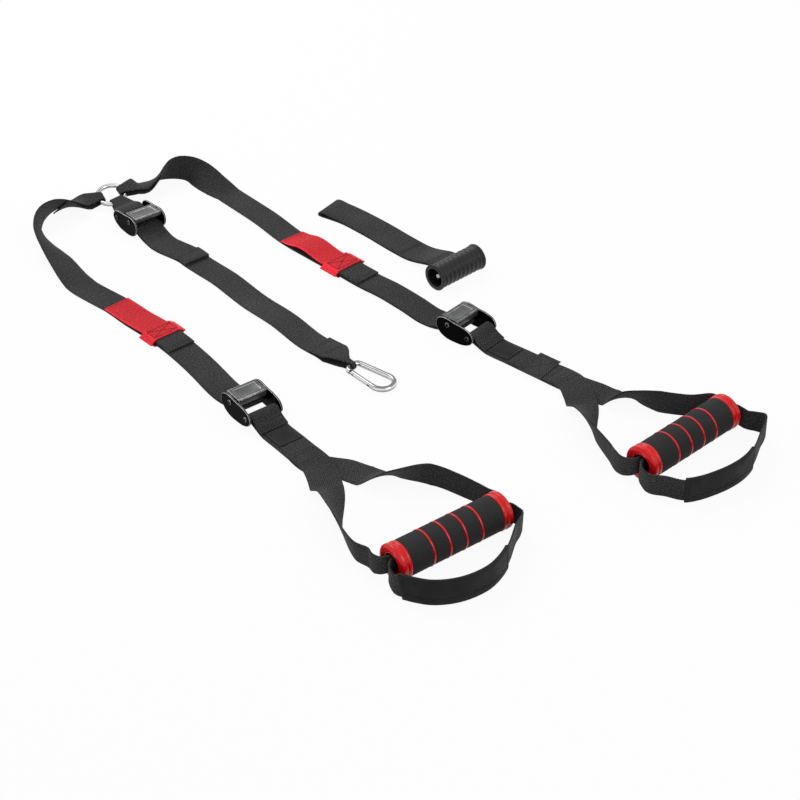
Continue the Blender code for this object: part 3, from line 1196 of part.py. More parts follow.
def make_door_anchor():
    """A ribbed rubber roller on a steel rod, held by a closed loop of webbing through the roller's slot"""
    half = ROLLER_LENGTH / 2
    rim_inside = half - ROLLER_RIM_LENGTH
    outline = [(ROLLER_BORE_RADIUS, half), (ROLLER_RIM_RADIUS, half),
               (ROLLER_RIM_RADIUS, half - ROLLER_RIM_LENGTH * 0.6), (ROLLER_RADIUS, rim_inside)]
    pitch = 2 * rim_inside / ROLLER_RIBS
    for i in range(ROLLER_RIBS):
        top = rim_inside - pitch * i
        outline += [(ROLLER_RADIUS + ROLLER_RIB_HEIGHT, top - pitch * 0.35), (ROLLER_RADIUS, top - pitch)]
    outline += [(ROLLER_RIM_RADIUS, -half + ROLLER_RIM_LENGTH * 0.6), (ROLLER_RIM_RADIUS, -half),
                (ROLLER_BORE_RADIUS, -half)]
    along = Matrix.Rotation(math.pi / 2, 4, "Y")
    roller = moved(turned(outline, ROLLER_STEPS, closed=True), along)
    spread = LAYER_STEP / 2 + WEBBING_THICKNESS / 2 + SLOT_MARGIN
    slot = box(DOOR_WEBBING_WIDTH + 2 * SLOT_MARGIN, ROLLER_RIM_RADIUS + OVERRUN, 2 * spread,
               (0, (ROLLER_RIM_RADIUS + OVERRUN) / 2, 0))
    roller = combined(roller, slot, "DIFFERENCE")

    matrix = roller_matrix()
    base = empty("roller_axis", matrix)
    place_mesh("door_roller", roller, "rubber", base)
    place_mesh("door_rod", moved(rod(ROD_RADIUS, ROD_LENGTH, PIN_STEPS), along), "spring_steel", base)

    turn = matrix.to_3x3()
    inward = turn @ Vector((0, -1, 0))
    side = inward.cross(UP)
    centre = matrix.translation
    fold = on_floor(*door_fold_shares, DOOR_FOLD_RADIUS + WEBBING_THICKNESS / 2)
    first = on_floor(*door_strap_shares[0][:2])
    fold_side = tilted_side(first - fold, 0)
    spots = (ROLLER_RADIUS * 1.6, ROLLER_RADIUS, 0)
    ends = [Station(centre - inward * spot, side, DOOR_WEBBING_WIDTH) for spot in spots]
    route = smooth(floor_route(door_strap_shares, [Station(fold, fold_side, DOOR_WEBBING_WIDTH)], ends,
                               DOOR_WEBBING_WIDTH))
    along_route = lengths(route)
    rod_eye = ROD_RADIUS + FIT_GAP + WEBBING_THICKNESS / 2
    closing = ROLLER_BORE_RADIUS - SLOT_MARGIN
    spread = []
    for s in along_route:
        fold_share = 1 - ease(s / EYE_CLOSING_LENGTH)
        rod_share = 1 - ease((along_route[-1] - s) / closing)
        at_fold = fold_share * (DOOR_FOLD_RADIUS - LAYER_STEP / 2)
        spread.append(LAYER_STEP / 2 + at_fold + rod_share * (rod_eye - LAYER_STEP / 2))
    upper, lower = over_floor(route, spread, [-s for s in spread])
    start, end = frames(route)[0], frames(route)[-1]
    fold_turn = half_turn(route[0].place, start[0], -start[2], start[1], DOOR_FOLD_RADIUS,
                          DOOR_WEBBING_WIDTH)
    rod_turn = half_turn(route[-1].place, end[0], end[2], end[1], rod_eye, DOOR_WEBBING_WIDTH, inward=1)
    ribbon("door_strap", [*upper, *rod_turn, *reversed(lower), *fold_turn], WEBBING_THICKNESS, "webbing",
           closed=True, pivot=centre)


def main():
    make_ring()
    make_anchor_loop()
    make_buckles()
    make_leg("left", left_leg_shares)
    make_leg("right", right_leg_shares)
    make_carabiner()
    make_centre_strap()
    make_grips()
    for name in GRIP_HEADINGS:
        make_handle(name)
    make_door_anchor()
    bpy.context.view_layer.update()


clear_scene()
MODEL = new_collection("suspension_trainer")
CUTTERS = new_collection("cutters")
main()
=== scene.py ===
"""A suspension trainer laid out on a pale floor: webbing, stitching, foam grips and metal fittings"""

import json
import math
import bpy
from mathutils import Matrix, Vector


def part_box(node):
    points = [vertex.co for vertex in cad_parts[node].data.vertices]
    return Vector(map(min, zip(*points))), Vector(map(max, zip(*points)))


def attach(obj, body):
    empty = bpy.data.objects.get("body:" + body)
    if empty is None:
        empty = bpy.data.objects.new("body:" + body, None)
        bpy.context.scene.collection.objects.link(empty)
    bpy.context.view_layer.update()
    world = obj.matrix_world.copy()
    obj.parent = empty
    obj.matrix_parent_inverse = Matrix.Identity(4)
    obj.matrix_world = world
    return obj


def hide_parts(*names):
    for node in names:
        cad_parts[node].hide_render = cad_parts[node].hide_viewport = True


bl_info = {
    "name": "Suspension trainer",
    "version": (1, 0, 0),
    "blender": (4, 5, 0),
    "location": "3D View > Sidebar > Trainer",
    "description": "Makes a suspension trainer's webbing, grips and fittings on its packed frame",
    "category": "Object",
}

from bisect import bisect_right
from itertools import permutations

import bmesh
import bpy
from bpy.props import FloatProperty, FloatVectorProperty, IntProperty, PointerProperty
from mathutils import Matrix, Vector

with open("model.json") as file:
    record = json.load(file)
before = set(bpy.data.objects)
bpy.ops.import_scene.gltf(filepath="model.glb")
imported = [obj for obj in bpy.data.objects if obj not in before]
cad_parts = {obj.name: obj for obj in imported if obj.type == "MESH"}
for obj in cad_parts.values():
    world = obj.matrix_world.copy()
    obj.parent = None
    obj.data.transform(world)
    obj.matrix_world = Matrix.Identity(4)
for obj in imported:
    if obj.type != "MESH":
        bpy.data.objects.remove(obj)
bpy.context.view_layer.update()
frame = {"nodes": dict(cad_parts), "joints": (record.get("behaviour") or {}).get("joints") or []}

MM = 0.001
UP = Vector((0, 0, 1))
JOINTS = {joint["name"]: joint for joint in frame["joints"]}
SIDES = ("left", "right")
QUARTER = math.pi / 2

# A buckle cheek's outline from its back over its top, in shares of its length and height
cheek_outline_shares = (
    (-0.50, 0.58), (-0.46, 0.87), (-0.33, 1.0), (0.0, 0.95), (0.26, 0.90), (0.39, 0.82), (0.47, 0.66),
    (0.50, 0.46), (0.44, 0.25), (0.27, 0.07), (0.02, 0.010), (-0.22, 0.035), (-0.40, 0.20),
)

# Reading and drawing
FLAT_ANGLE = math.radians(1)
RIDGE_ANGLE = math.radians(32)
SMOOTH_ANGLE = math.radians(40)
WELD = 0.001 * MM
STRIP_PITCH = 4 * MM
STRIP_TURN = math.radians(9)
CORNER_PARTS = 2.2

# Stitching: rows by their distance from a strip's end or the yoke's fork, and their half widths
EYE_ROWS = (3 * MM, 6 * MM, 24 * MM, 27 * MM)
LEG_EYE_HALF, CENTRE_EYE_HALF = 11 * MM, 12 * MM
HEM_HALF = 16 * MM
HEM_INSET = 3 * MM
TAIL_ROWS = (4 * MM, 7 * MM)
BUCKLE_ROOM = 30 * MM
SLEEVE_INSET, SLEEVE_HALF, SLEEVE_DEPTH, sleeve_wall_share = 4 * MM, 17.5 * MM, 5 * MM, 0.7
TAB_INSET, TAB_PITCH, TAB_HALF = 5 * MM, 3 * MM, 15 * MM
HANDLE_ROWS = (3 * MM, 6 * MM)
YOKE_ROWS, YOKE_HALF = (4 * MM, 8 * MM, 24 * MM, 28 * MM), 15 * MM
LABEL_SEARCH = 190 * MM
LABEL_INSET, LABEL_HALF = 1.6 * MM, 13.6 * MM
PATCH_THICKNESS, PATCH_INSET, PATCH_HALF = 1.2 * MM, 3 * MM, 19 * MM
PAD_INSET, PAD_ROW_INSET, PAD_ROW_HALF = 5 * MM, 4 * MM, 12 * MM
ZIGZAG_MIDDLE, ZIGZAG_REACH, ZIGZAG_PITCH = 7.5 * MM, 1.8 * MM, 5 * MM
DOOR_ROW_REACH, DOOR_HALF = 1.6 * MM, 19 * MM
SLEEVE_BOLD, PAD_BOLD, DOOR_BOLD = 1.8, 1.5, 1.4

# Grips: where a cap's outline steps along its length, and how far below its flange the steps lie
cap_step_shares = (0.27, 0.42, 0.52, 0.90)
CAP_END_DROP, CAP_GROOVE_DROP, CAP_COLLAR_DROP = 3.4 * MM, 1.9 * MM, 0.3 * MM
FOAM_POINTS = 9
STRIPE_PROUD, STRIPE_ROUND = 0.35 * MM, 0.4 * MM

# Buckles
FACE_INSET, FACE_DEPTH = 0.9 * MM, 0.3 * MM
BAR_THICKNESS, BAR_ROUND = 2.2 * MM, 0.9 * MM
PIN_ROUND = 0.3 * MM

# Ring and carabiner, with its fork, nose and gate in shares of its wire's radius
RING_STEPS, RING_WIRE_STEPS = 128, 32
CORNER_STEPS, END_STEPS, ROD_STEPS = 8, 28, 40
flank_shares = (0.08, 0.5, 0.92)
JOINT_GAP = 0.5 * MM
GATE_GAP = 0.3 * MM
ROOT = 2 * MM
FITTING_ROUND = 0.4 * MM
fork_reach_share, fork_width_share, FORK_THICKNESS = 0.75, 1.4, 2.6 * MM
nose_width_share, NOSE_THICKNESS = 1.3, 1.8 * MM
gate_slot_share, GATE_SLOT, GATE_NOTCH = 1.12, 3.2 * MM, 2.4 * MM
gate_round_share = 0.1
GATE_ROUND_STEPS = 6

# Door anchor: where a rib's top starts and ends, and the groove after it, in shares of the ribs' pitch
rib_shares = (0.22, 0.55, 0.8, 1.0)
rod_end_share = 2.2
ROLLER_STEPS = 96
ROLLER_ROUND, ROD_ROUND = 0.7 * MM, 0.5 * MM
SLOT_SIDE, SLOT_BACK, SLOT_HEIGHT = 2 * MM, 4 * MM, 6 * MM

# Lamps and camera
WHITE = (1, 1, 1, 1)
KEY_PLACE, KEY_SIZE = (-1.2, 1.4, 2.2), 1.6
FILL_PLACE, FILL_SIZE = (1.9, -1.2, 1.8), 1.2
SENSOR_WIDTH = 36.0


class Stop:
    """A place on a strip's middle line, with its side direction and its width there"""

    def __init__(self, place, side, width):
        self.place, self.side, self.width = place, side, width


class Strip:
    """A strip's smooth middle line, measured from its start"""

    def __init__(self, stops, closed=False):
        self.stops = flowing(stops, closed)
        self.marks = [0.0]
        for before, after in zip(self.stops, self.stops[1:]):
            self.marks.append(self.marks[-1] + (after.place - before.place).length)
        self.length = self.marks[-1]
        last = len(self.stops) - 1
        self.axes = []
        for i, stop in enumerate(self.stops):
            ahead, behind = ((i + 1) % last, (i - 1) % last) if closed else (min(i + 1, last), max(i - 1, 0))
            along = (self.stops[ahead].place - self.stops[behind].place).normalized()
            side = (stop.side - along * stop.side.dot(along)).normalized()
            self.axes.append((along, side, along.cross(side)))

    def at(self, mark):
        """Place, along, side and facing directions and width at a distance from the start"""
        mark = min(max(mark, 0.0), self.length)
        low = min(bisect_right(self.marks, mark), len(self.marks) - 1) - 1
        span = self.marks[low + 1] - self.marks[low]
        share = (mark - self.marks[low]) / span if span else 0.0
        first, second = self.stops[low], self.stops[low + 1]
        axes = [a.lerp(b, share).normalized() for a, b in zip(self.axes[low], self.axes[low + 1])]
        width = first.width + (second.width - first.width) * share
        return first.place.lerp(second.place, share), *axes, width

    def locate(self, point, start=0.0, end=None):
        """A point's distance along, to the side and above the strip, by its nearest stop between two marks"""
        end = self.length if end is None else end
        spots = [i for i, mark in enumerate(self.marks) if start <= mark <= end]
        best = min(spots, key=lambda i: (self.stops[i].place - point).length)
        along, side, facing = self.axes[best]
        offset = point - self.stops[best].place
        return self.marks[best] + offset.dot(along), offset.dot(side), offset.dot(facing)

    def part(self, start, end):
        """The stretch between two marks as a strip of its own"""
        inner = [mark for mark in self.marks if start + MM < mark < end - MM]
        spots = [self.at(mark) for mark in (start, *inner, end)]
        return Strip([Stop(place, side, width) for place, _, side, _, width in spots])

    def upward(self, mark):
        """1 where the facing direction points up, and else -1"""
        return 1 if self.at(mark)[3].z > 0 else -1


def flowing(stops, closed):
    """More stops between the given ones, on a smooth curve through them all"""
    count = len(stops)

    def stop(i):
        return stops[i % count if closed else min(max(i, 0), count - 1)]

    def slope(i):
        before, here, after = stop(i - 1).place, stop(i).place, stop(i + 1).place
        first, second = (here - before).length, (after - here).length
        if first < WELD or second < WELD:
            return (after - before).normalized()
        whole = first + second
        return (here - before) * (second / first / whole) + (after - here) * (first / second / whole)

    result = [stops[0]]
    for i in range(count if closed else count - 1):
        here, after = stop(i), stop(i + 1)
        chord = (after.place - here.place).length
        leave, arrive = slope(i), slope(i + 1)
        turn = leave.angle(arrive) if leave.length and arrive.length else 0.0
        steps = max(1, math.ceil(chord / STRIP_PITCH), math.ceil(turn / STRIP_TURN))
        for k in range(1, steps + 1):
            t = k / steps
            place = here.place * ((1 + 2 * t) * (1 - t) ** 2) + after.place * (t * t * (3 - 2 * t))
            place += leave * (chord * t * (1 - t) ** 2) - arrive * (chord * t * t * (1 - t))
            side = here.side.lerp(after.side, t).normalized()
            result.append(Stop(place, side, here.width + (after.width - here.width) * t))
    return result


def merged(node):
    """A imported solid's mesh, its loose triangles joined up"""
    shape = bmesh.new()
    shape.from_mesh(frame["nodes"][node].data)
    bmesh.ops.remove_doubles(shape, verts=shape.verts, dist=WELD)
    shape.verts.index_update()
    return shape


def in_order(vertices):
    """Vertices in their mesh's order, so that every run reads the same"""
    return sorted(vertices, key=lambda vertex: vertex.index)


def around(ring):
    """The vertices that are one edge away from a ring's"""
    return {edge.other_vert(vertex) for vertex in ring for edge in vertex.link_edges} - set(ring)


def layers_from(cap):
    """Rings of vertices, each one edge further from the first"""
    seen, layer, result = set(cap), list(cap), []
    while layer:
        result.append(layer)
        layer = in_order(around(layer) - seen)
        seen.update(layer)
    return result


def matched(before, layer):
    """A ring's vertices in the order of the ring before it"""
    def cost(order):
        apart = sum(b not in around([a]) for a, b in zip(before, order))
        return apart, sum((a.co - b.co).length for a, b in zip(before, order))
    return min(permutations(layer), key=cost)


def open_rings(shape, near):
    """The rings of four vertices along an open strip's solid, from the end nearest a place"""
    seams = [edge for edge in shape.edges if edge.calc_face_angle(1) < FLAT_ANGLE]
    seams.sort(key=lambda edge: ((edge.verts[0].co + edge.verts[1].co) / 2 - near).length)
    for seam in seams:
        cap = in_order({vertex for face in seam.link_faces for vertex in face.verts})
        layers = layers_from(cap)
        if len(cap) == 4 and all(len(layer) == 4 for layer in layers) and len(layers) > 1:
            rings = [layers[0]]
            for layer in layers[1:]:
                rings.append(matched(rings[-1], layer))
            return rings
    return []


def closed_rings(shape, near):
    """The rings of four vertices round a closed strip's solid, from the place on it nearest another"""
    first = min(shape.verts, key=lambda v: (v.co - near).length)
    cycles = [(first, b, c, d) for b in in_order(around([first])) for c in in_order(around([b]) - {first})
              for d in in_order(around([c]) & around([first]) - {b})]
    cycles.sort(key=lambda ring: sum((a.co - b.co).length for a, b in zip(ring, ring[1:] + ring[:1])))
    whole = len(shape.verts) / 4
    for cycle in cycles:
        beside = around(cycle)
        onward = {min(beside, key=lambda v: (v.co - near).length)}
        while around(onward) & beside:
            onward |= around(onward) & beside
        rings = [cycle]
        while len(onward) == 4 and onward != set(cycle) and len(rings) < whole:
            rings.append(matched(rings[-1], in_order(onward)))
            onward = around(rings[-1]) - set(rings[-2])
        if len(rings) == whole and onward == set(cycle):
            return rings
    return []


def read_strip(node, near):
    """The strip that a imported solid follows, from the end nearest a place"""
    near = Vector(near)
    shape = merged(node)
    rings = open_rings(shape, near)
    closed = not rings
    rings = [[vertex.co.copy() for vertex in ring] for ring in rings or closed_rings(shape, near)]
    shape.free()
    if not rings:
        raise RuntimeError(f"{node} isn't a plain strip")
    start = rings[0]
    order = sorted(range(1, 4), key=lambda i: (start[i] - start[0]).length)
    stops = []
    for ring in rings:
        a, (b, c, d) = ring[0], [ring[i] for i in order]
        across = ((a + b) - (c + d)) / 2
        stops.append(Stop((a + b + c + d) / 4, across.normalized(), across.length))
    return Strip(stops, closed)


def span_of(node, strip, start=0.0, end=None):
    """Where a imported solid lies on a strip: lowest and highest distance along, to the side and above it"""
    shape = merged(node)
    found = [strip.locate(vertex.co, start, end) for vertex in shape.verts]
    shape.free()
    return [(min(values), max(values)) for values in zip(*found)]


def span_along(node, place, direction):
    """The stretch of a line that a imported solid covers"""
    marks = [(vertex.co - place).dot(direction) for vertex in frame["nodes"][node].data.vertices]
    return min(marks), max(marks)


def joint_axis(name):
    """A joint's place and direction"""
    return Vector(JOINTS[name]["pos_m"]), Vector(JOINTS[name]["axis"]).normalized()


def webbing_section(width, thickness, columns=8, corner_steps=4):
    """A flat strip's cross-section with round edges: places across and above, once round from one edge"""
    reach, half = width / 2 - thickness / 2, thickness / 2
    section = []
    for way in (1, -1):
        for i in range(corner_steps):
            angle = math.pi * (i / corner_steps - 0.5) * way
            section.append((way * (reach + half * math.cos(angle)), half * math.sin(angle)))
        for i in range(columns):
            section.append((way * reach * (1 - 2 * i / columns), way * half))
    return section


def tube_section(width, height, flatness=0.25, rise_share=1.6, steps=40):
    """A soft flattened tube's cross-section: a rounded slab, fuller in its middle"""
    section = []
    for i in range(steps):
        angle = math.tau * i / steps
        across, up = math.cos(angle), math.sin(angle)
        across = math.copysign(abs(across) ** flatness, across)
        up = math.copysign(abs(up) ** (flatness * rise_share), up)
        section.append((across * width / 2, up * height / 2))
    return section


def pinched_section(width, height, reach, edge, steps=6):
    """A sewn sleeve's cross-section: even over its reach to each side, pinched flat at its edges"""
    half, tip = width / 2, edge / 2
    upper = [(half - tip * (1 - math.sin(angle)), tip * math.cos(angle))
             for angle in (QUARTER * (1 - i / 3) for i in range(3))]
    for i in range(steps + 1):
        share = i / steps
        fall = share * share * (3 - 2 * share)
        upper.append((half - tip + (reach - half + tip) * share, tip + (height / 2 - tip) * fall))
    upper += [(reach * (1 - i / 3), height / 2) for i in range(1, 4)]
    upper += [(-x, y) for x, y in reversed(upper[:-1])]
    return upper + [(-x, -y) for x, y in upper[1:-1]]


def arc(middle, radius, start, end, steps):
    """Places along an arc, across and ahead"""
    angles = [start + (end - start) * i / steps for i in range(steps + 1)]
    return [(middle[0] + radius * math.cos(angle), middle[1] + radius * math.sin(angle)) for angle in angles]


def wire_section(radius, steps=24):
    """A round wire's cross-section"""
    return arc((0.0, 0.0), radius, 0.0, math.tau, steps)[:-1]


def rounded(outline, radius, steps=3):
    """An outline of places with its corners rounded, each by less than half of its shorter side"""
    result = []
    count = len(outline)
    for i in range(count):
        before, here, after = (Vector(outline[(i + k) % count]) for k in (-1, 0, 1))
        reach = min(radius, (here - before).length / CORNER_PARTS, (after - here).length / CORNER_PARTS)
        start = here + (before - here).normalized() * reach
        end = here + (after - here).normalized() * reach
        for k in range(steps + 1):
            t = k / steps
            result.append(tuple(start * (1 - t) ** 2 + here * (2 * t * (1 - t)) + end * t * t))
    return result


def mesh_from(shape, name):
    """A working mesh as a mesh of the file's"""
    mesh = bpy.data.meshes.new(name)
    shape.to_mesh(mesh)
    shape.free()
    return mesh


def stand(name, data):
    """Puts an object in the scene, at the origin"""
    item = bpy.data.objects.new(name, data)
    bpy.context.scene.collection.objects.link(item)
    return item


def new_piece(name, shape, material, body, nodes, rim=None):
    """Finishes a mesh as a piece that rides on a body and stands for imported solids"""
    mesh = mesh_from(shape, name)
    # A second material, when given, goes to the faces that eased() marked, the buckles' painted edge highlight
    for key in (material, rim) if rim else (material,):
        mesh.materials.append(materials()[key])
    mesh.shade_smooth()
    mesh.set_sharp_from_angle(angle=SMOOTH_ANGLE)
    piece = stand(name, mesh)
    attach(piece, body)
    if nodes:
        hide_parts(*nodes)
    return piece


def repaint(node, material):
    """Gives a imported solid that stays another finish"""
    slots = frame["nodes"][node].data.materials
    slots.clear()
    slots.append(materials()[material])


def extruded(shape, faces, push):
    """Draws faces of a mesh out along a vector"""
    made = bmesh.ops.extrude_face_region(shape, geom=faces)["geom"]
    verts = [item for item in made if isinstance(item, bmesh.types.BMVert)]
    bmesh.ops.translate(shape, vec=push, verts=verts)


def eased(shape, edges, width, segments=3, material=-1):
    """Rounds edges of a mesh"""
    bmesh.ops.bevel(shape, geom=edges, offset=width, offset_type="OFFSET", affect="EDGES", segments=segments,
                    profile=0.5, material=material, clamp_overlap=True)


def joined(shape, other):
    """Adds one mesh to another"""
    mesh = mesh_from(other, "joined")
    shape.from_mesh(mesh)
    bpy.data.meshes.remove(mesh)
    return shape


def seat(place, axes, size):
    """The matrix that lays a unit shape at a place, along three directions, at a size"""
    return Matrix.Translation(place) @ Matrix(axes).transposed().to_4x4() @ Matrix.Diagonal((*size, 1))


def open_ends(shape, wall, depth):
    """Sinks the two ends of a swept solid so that it shows as a wall round an opening"""
    for face in [face for face in shape.faces if len(face.verts) > 4]:
        inward = -face.normal.copy()
        bmesh.ops.inset_region(shape, faces=[face], thickness=wall, use_even_offset=True)
        extruded(shape, [face], inward * depth)
        bmesh.ops.delete(shape, geom=[face], context="FACES_ONLY")


def sweep(strip, section, lift=0.0):
    """Draws a cross-section along a strip; section gives its places from a stop's width"""
    shape = bmesh.new()
    sections = [section(stop.width) for stop in strip.stops]
    last, count = len(sections) - 1, len(sections[0])
    grid = bmesh.ops.create_grid(shape, x_segments=last, y_segments=count, size=1)["verts"]
    strip_map, edge_map = (shape.loops.layers.uv.new(name) for name in ("strip", "edge"))
    spots = {vertex: (round((vertex.co.x + 1) / 2 * last), round((vertex.co.y + 1) / 2 * count))
             for vertex in grid}
    for loop in (loop for face in shape.faces for loop in face.loops):
        column, row = spots[loop.vert]
        across, mark = sections[column][row % count][0], strip.marks[column]
        edge = strip.stops[column].width / 2 - abs(across)
        loop[strip_map].uv = (across, mark)
        loop[edge_map].uv = (max(edge, 0.0), min(mark, strip.length - mark))
    for vertex, (column, row) in spots.items():
        across, up = sections[column][row % count]
        _, side, facing = strip.axes[column]
        vertex.co = strip.stops[column].place + side * across + facing * (up + lift)
    bmesh.ops.remove_doubles(shape, verts=grid, dist=WELD)
    bmesh.ops.holes_fill(shape, edges=[edge for edge in shape.edges if edge.is_boundary], sides=0)
    bmesh.ops.recalc_face_normals(shape, faces=shape.faces)
    return shape


def turned(place, direction, outline, steps):
    """Spins an outline of places (along, radius) round a line into a closed mesh"""
    across = direction.orthogonal().normalized()
    shape = bmesh.new()
    spots = [shape.verts.new(place + direction * along + across * radius) for along, radius in outline]
    edges = []
    for i, (_, radius) in enumerate(outline):
        after = (i + 1) % len(outline)
        if radius > WELD or outline[after][1] > WELD:
            edges.append(shape.edges.new((spots[i], spots[after])))
    bmesh.ops.spin(shape, geom=spots + edges, cent=place, axis=direction, angle=math.tau, steps=steps,
                   use_merge=True)
    bmesh.ops.remove_doubles(shape, verts=shape.verts, dist=WELD)
    bmesh.ops.recalc_face_normals(shape, faces=shape.faces)
    return shape


def cut(shape, tool):
    """A mesh with another taken out of it"""
    pair = [stand("cut", mesh_from(source, "cut")) for source in (shape, tool)]
    change = pair[0].modifiers.new("cut", "BOOLEAN")
    change.operation, change.object = "DIFFERENCE", pair[1]
    bpy.context.view_layer.update()
    result = bmesh.new()
    result.from_object(pair[0], bpy.context.evaluated_depsgraph_get())
    for item in pair:
        mesh = item.data
        bpy.data.objects.remove(item)
        bpy.data.meshes.remove(mesh)
    return result


def block(shape, place, axes, size, bevel=0.0):
    """Adds a box with eased edges, its middle, its three directions and its size given"""
    fresh = bmesh.new()
    bmesh.ops.create_cube(fresh, size=1, matrix=seat(place, [axis.normalized() for axis in axes], size))
    bmesh.ops.recalc_face_normals(fresh, faces=fresh.faces)
    if bevel:
        eased(fresh, fresh.edges[:], bevel)
    return joined(shape, fresh)


def slab(shape, places, push, bevel, inset, depth):
    """Adds a flat plate from its outline and thickness, with eased edges and a sunk outer face"""
    fresh = bmesh.new()
    first = fresh.faces.new([fresh.verts.new(place) for place in places])
    extruded(fresh, [first], push)
    bmesh.ops.recalc_face_normals(fresh, faces=fresh.faces)
    flat = [face for face in fresh.faces if len(face.verts) > 4]
    # The eased faces take the second material, the buckles' painted edge highlight
    eased(fresh, list({edge for face in flat for edge in face.edges}), bevel, material=1)
    outer = [face for face in fresh.faces if len(face.verts) > 4 and face.normal.dot(push) > 0]
    for thickness, sink in ((inset, 0), (depth, -depth)):
        bmesh.ops.inset_region(fresh, faces=outer, thickness=thickness, depth=sink, use_even_offset=True)
    return joined(shape, fresh)


def refined(node, material, body, width):
    """A packed metal part with its edges eased, the eased faces taking the painted edge highlight"""
    shape = merged(node)
    bmesh.ops.dissolve_limit(shape, angle_limit=FLAT_ANGLE, verts=shape.verts, edges=shape.edges)
    edges = [edge for edge in shape.edges if edge.is_manifold and edge.calc_face_angle(0) > RIDGE_ANGLE]
    eased(shape, edges, width, 2, 1)
    return new_piece(node + "_finished", shape, material, body, [node], "buckle_rim")


def put(tree, kind, sockets=None, **settings):
    """Adds a node to a tree, sets it up and joins or fills its sockets"""
    node = tree.nodes.new(kind)
    for name, value in settings.items():
        setattr(node, name, value)
    return fill(tree, node, sockets or {})


def fill(tree, node, sockets):
    """Joins or fills a node's sockets"""
    for name, value in sockets.items():
        if isinstance(value, bpy.types.NodeSocket):
            tree.links.new(value, node.inputs[name])
        else:
            node.inputs[name].default_value = value
    return node


def calc(tree, operation, *values):
    """Adds a sum on one, two or three values"""
    return put(tree, "ShaderNodeMath", dict(enumerate(values)), operation=operation).outputs[0]


def blend(tree, first, first_share, second, second_share):
    """Adds up shares of two values"""
    return calc(tree, "MULTIPLY_ADD", first, first_share, calc(tree, "MULTIPLY", second, second_share))


def new_material(name):
    """A new material's tree and its shader"""
    material = bpy.data.materials.new(name)
    material.use_nodes = True
    tree = material.node_tree
    tree.nodes.clear()
    shader = put(tree, "ShaderNodeBsdfPrincipled")
    put(tree, "ShaderNodeOutputMaterial", {"Surface": shader.outputs[0]})
    return tree, shader


def ramp(tree, share, colour, *stops):
    """Adds a colour ramp on a value, from (place, factor on the colour) stops"""
    node = put(tree, "ShaderNodeValToRGB", {0: share})
    elements = node.color_ramp.elements
    while len(elements) < len(stops):
        elements.new(0.5)
    for element, (place, factor) in zip(elements, stops):
        element.position = place
        element.color = (*(min(value * factor, 1.0) for value in colour), 1)
    return node.outputs[0]


def noise(tree, vector, scale, detail=2.0, roughness=0.5):
    """Adds a noise pattern"""
    return put(tree, "ShaderNodeTexNoise",
               {"Vector": vector, "Scale": scale, "Detail": detail, "Roughness": roughness}).outputs[0]


def object_place(tree):
    """Object coordinates"""
    return put(tree, "ShaderNodeTexCoord").outputs["Object"]


def split(tree, vector):
    """A vector's three values"""
    return put(tree, "ShaderNodeSeparateXYZ", {0: vector}).outputs


def upness(tree):
    """How far a surface faces up, from -1 to 1"""
    return split(tree, put(tree, "ShaderNodeNewGeometry").outputs["Normal"])[2]


def scaled(tree, vector, factors):
    """A vector with each of its values times a factor of its own"""
    return put(tree, "ShaderNodeVectorMath", {0: vector, 1: factors}, operation="MULTIPLY").outputs[0]


def skin(tree, shader, colour, roughness, height, strength, distance, **more):
    """Gives a shader its colour, its roughness, its relief by a height, and more of its values"""
    relief = put(tree, "ShaderNodeBump", {"Height": height, "Strength": strength, "Distance": distance})
    more = {key.replace("_", " "): value for key, value in more.items()}
    fill(tree, shader, {"Base Color": colour, "Roughness": roughness, "Normal": relief.outputs[0], **more})


def woven(name, colour, rib, pick, selvage=1.0, contrast=1.0):
    """Webbing: staggered threads with light flecks and a painted highlight on their crowns, paler or darker
    near its edges
    """
    tree, shader = new_material(name)
    place, edge = (put(tree, "ShaderNodeUVMap", uv_map=key).outputs[0] for key in ("strip", "edge"))
    spot = split(tree, place)
    across, along = calc(tree, "DIVIDE", spot[0], rib), calc(tree, "DIVIDE", spot[1], pick)
    shift = calc(tree, "MULTIPLY", calc(tree, "PINGPONG", calc(tree, "FLOOR", across), 1.0), 0.5)
    thread = calc(tree, "SMOOTH_MIN", calc(tree, "PINGPONG", across, 0.5), 0.3, 0.2)
    knot = calc(tree, "PINGPONG", calc(tree, "ADD", along, shift), 0.5)
    height = calc(tree, "MULTIPLY", calc(tree, "MULTIPLY", thread, calc(tree, "ADD", knot, 0.35)), 4.0)
    fleck = noise(tree, scaled(tree, place, (0.9 / rib, 1.3 / pick, 1)), 1.0, 2.0, 0.6)
    cloud = calc(tree, "SUBTRACT", noise(tree, object_place(tree), 14.0), 0.5)
    # Partly painted highlight and shade: the weave's height lightens the thread crowns and darkens the gaps,
    # beside random flecks and cloud
    tone = calc(tree, "MULTIPLY_ADD", cloud, 0.25, blend(tree, height, 0.34, fleck, 0.78))
    colours = ramp(tree, tone, colour, (0.34, 1 - 0.7 * contrast), (0.54, 1), (0.68, 1 + 1.3 * contrast),
                   (0.82, 1 + 3.8 * contrast))
    rim = put(tree, "ShaderNodeMapRange", {"Value": split(tree, edge)[0], "From Min": 1.2 * MM,
                                           "From Max": 2.6 * MM, "To Min": 1.0, "To Max": 0.0}).outputs[0]
    pale = put(tree, "ShaderNodeVectorMath", {0: colours, 3: selvage}, operation="SCALE").outputs[0]
    mixed = put(tree, "ShaderNodeMix", {"Factor": rim, "A": colours, "B": pale}, data_type="RGBA")
    skin(tree, shader, mixed.outputs["Result"], calc(tree, "MULTIPLY_ADD", tone, -0.22, 0.92),
         calc(tree, "MULTIPLY_ADD", fleck, 0.5, height), 0.6, 0.35 * MM, Specular_IOR_Level=0.2,
         Sheen_Weight=0.04, Sheen_Roughness=0.5)


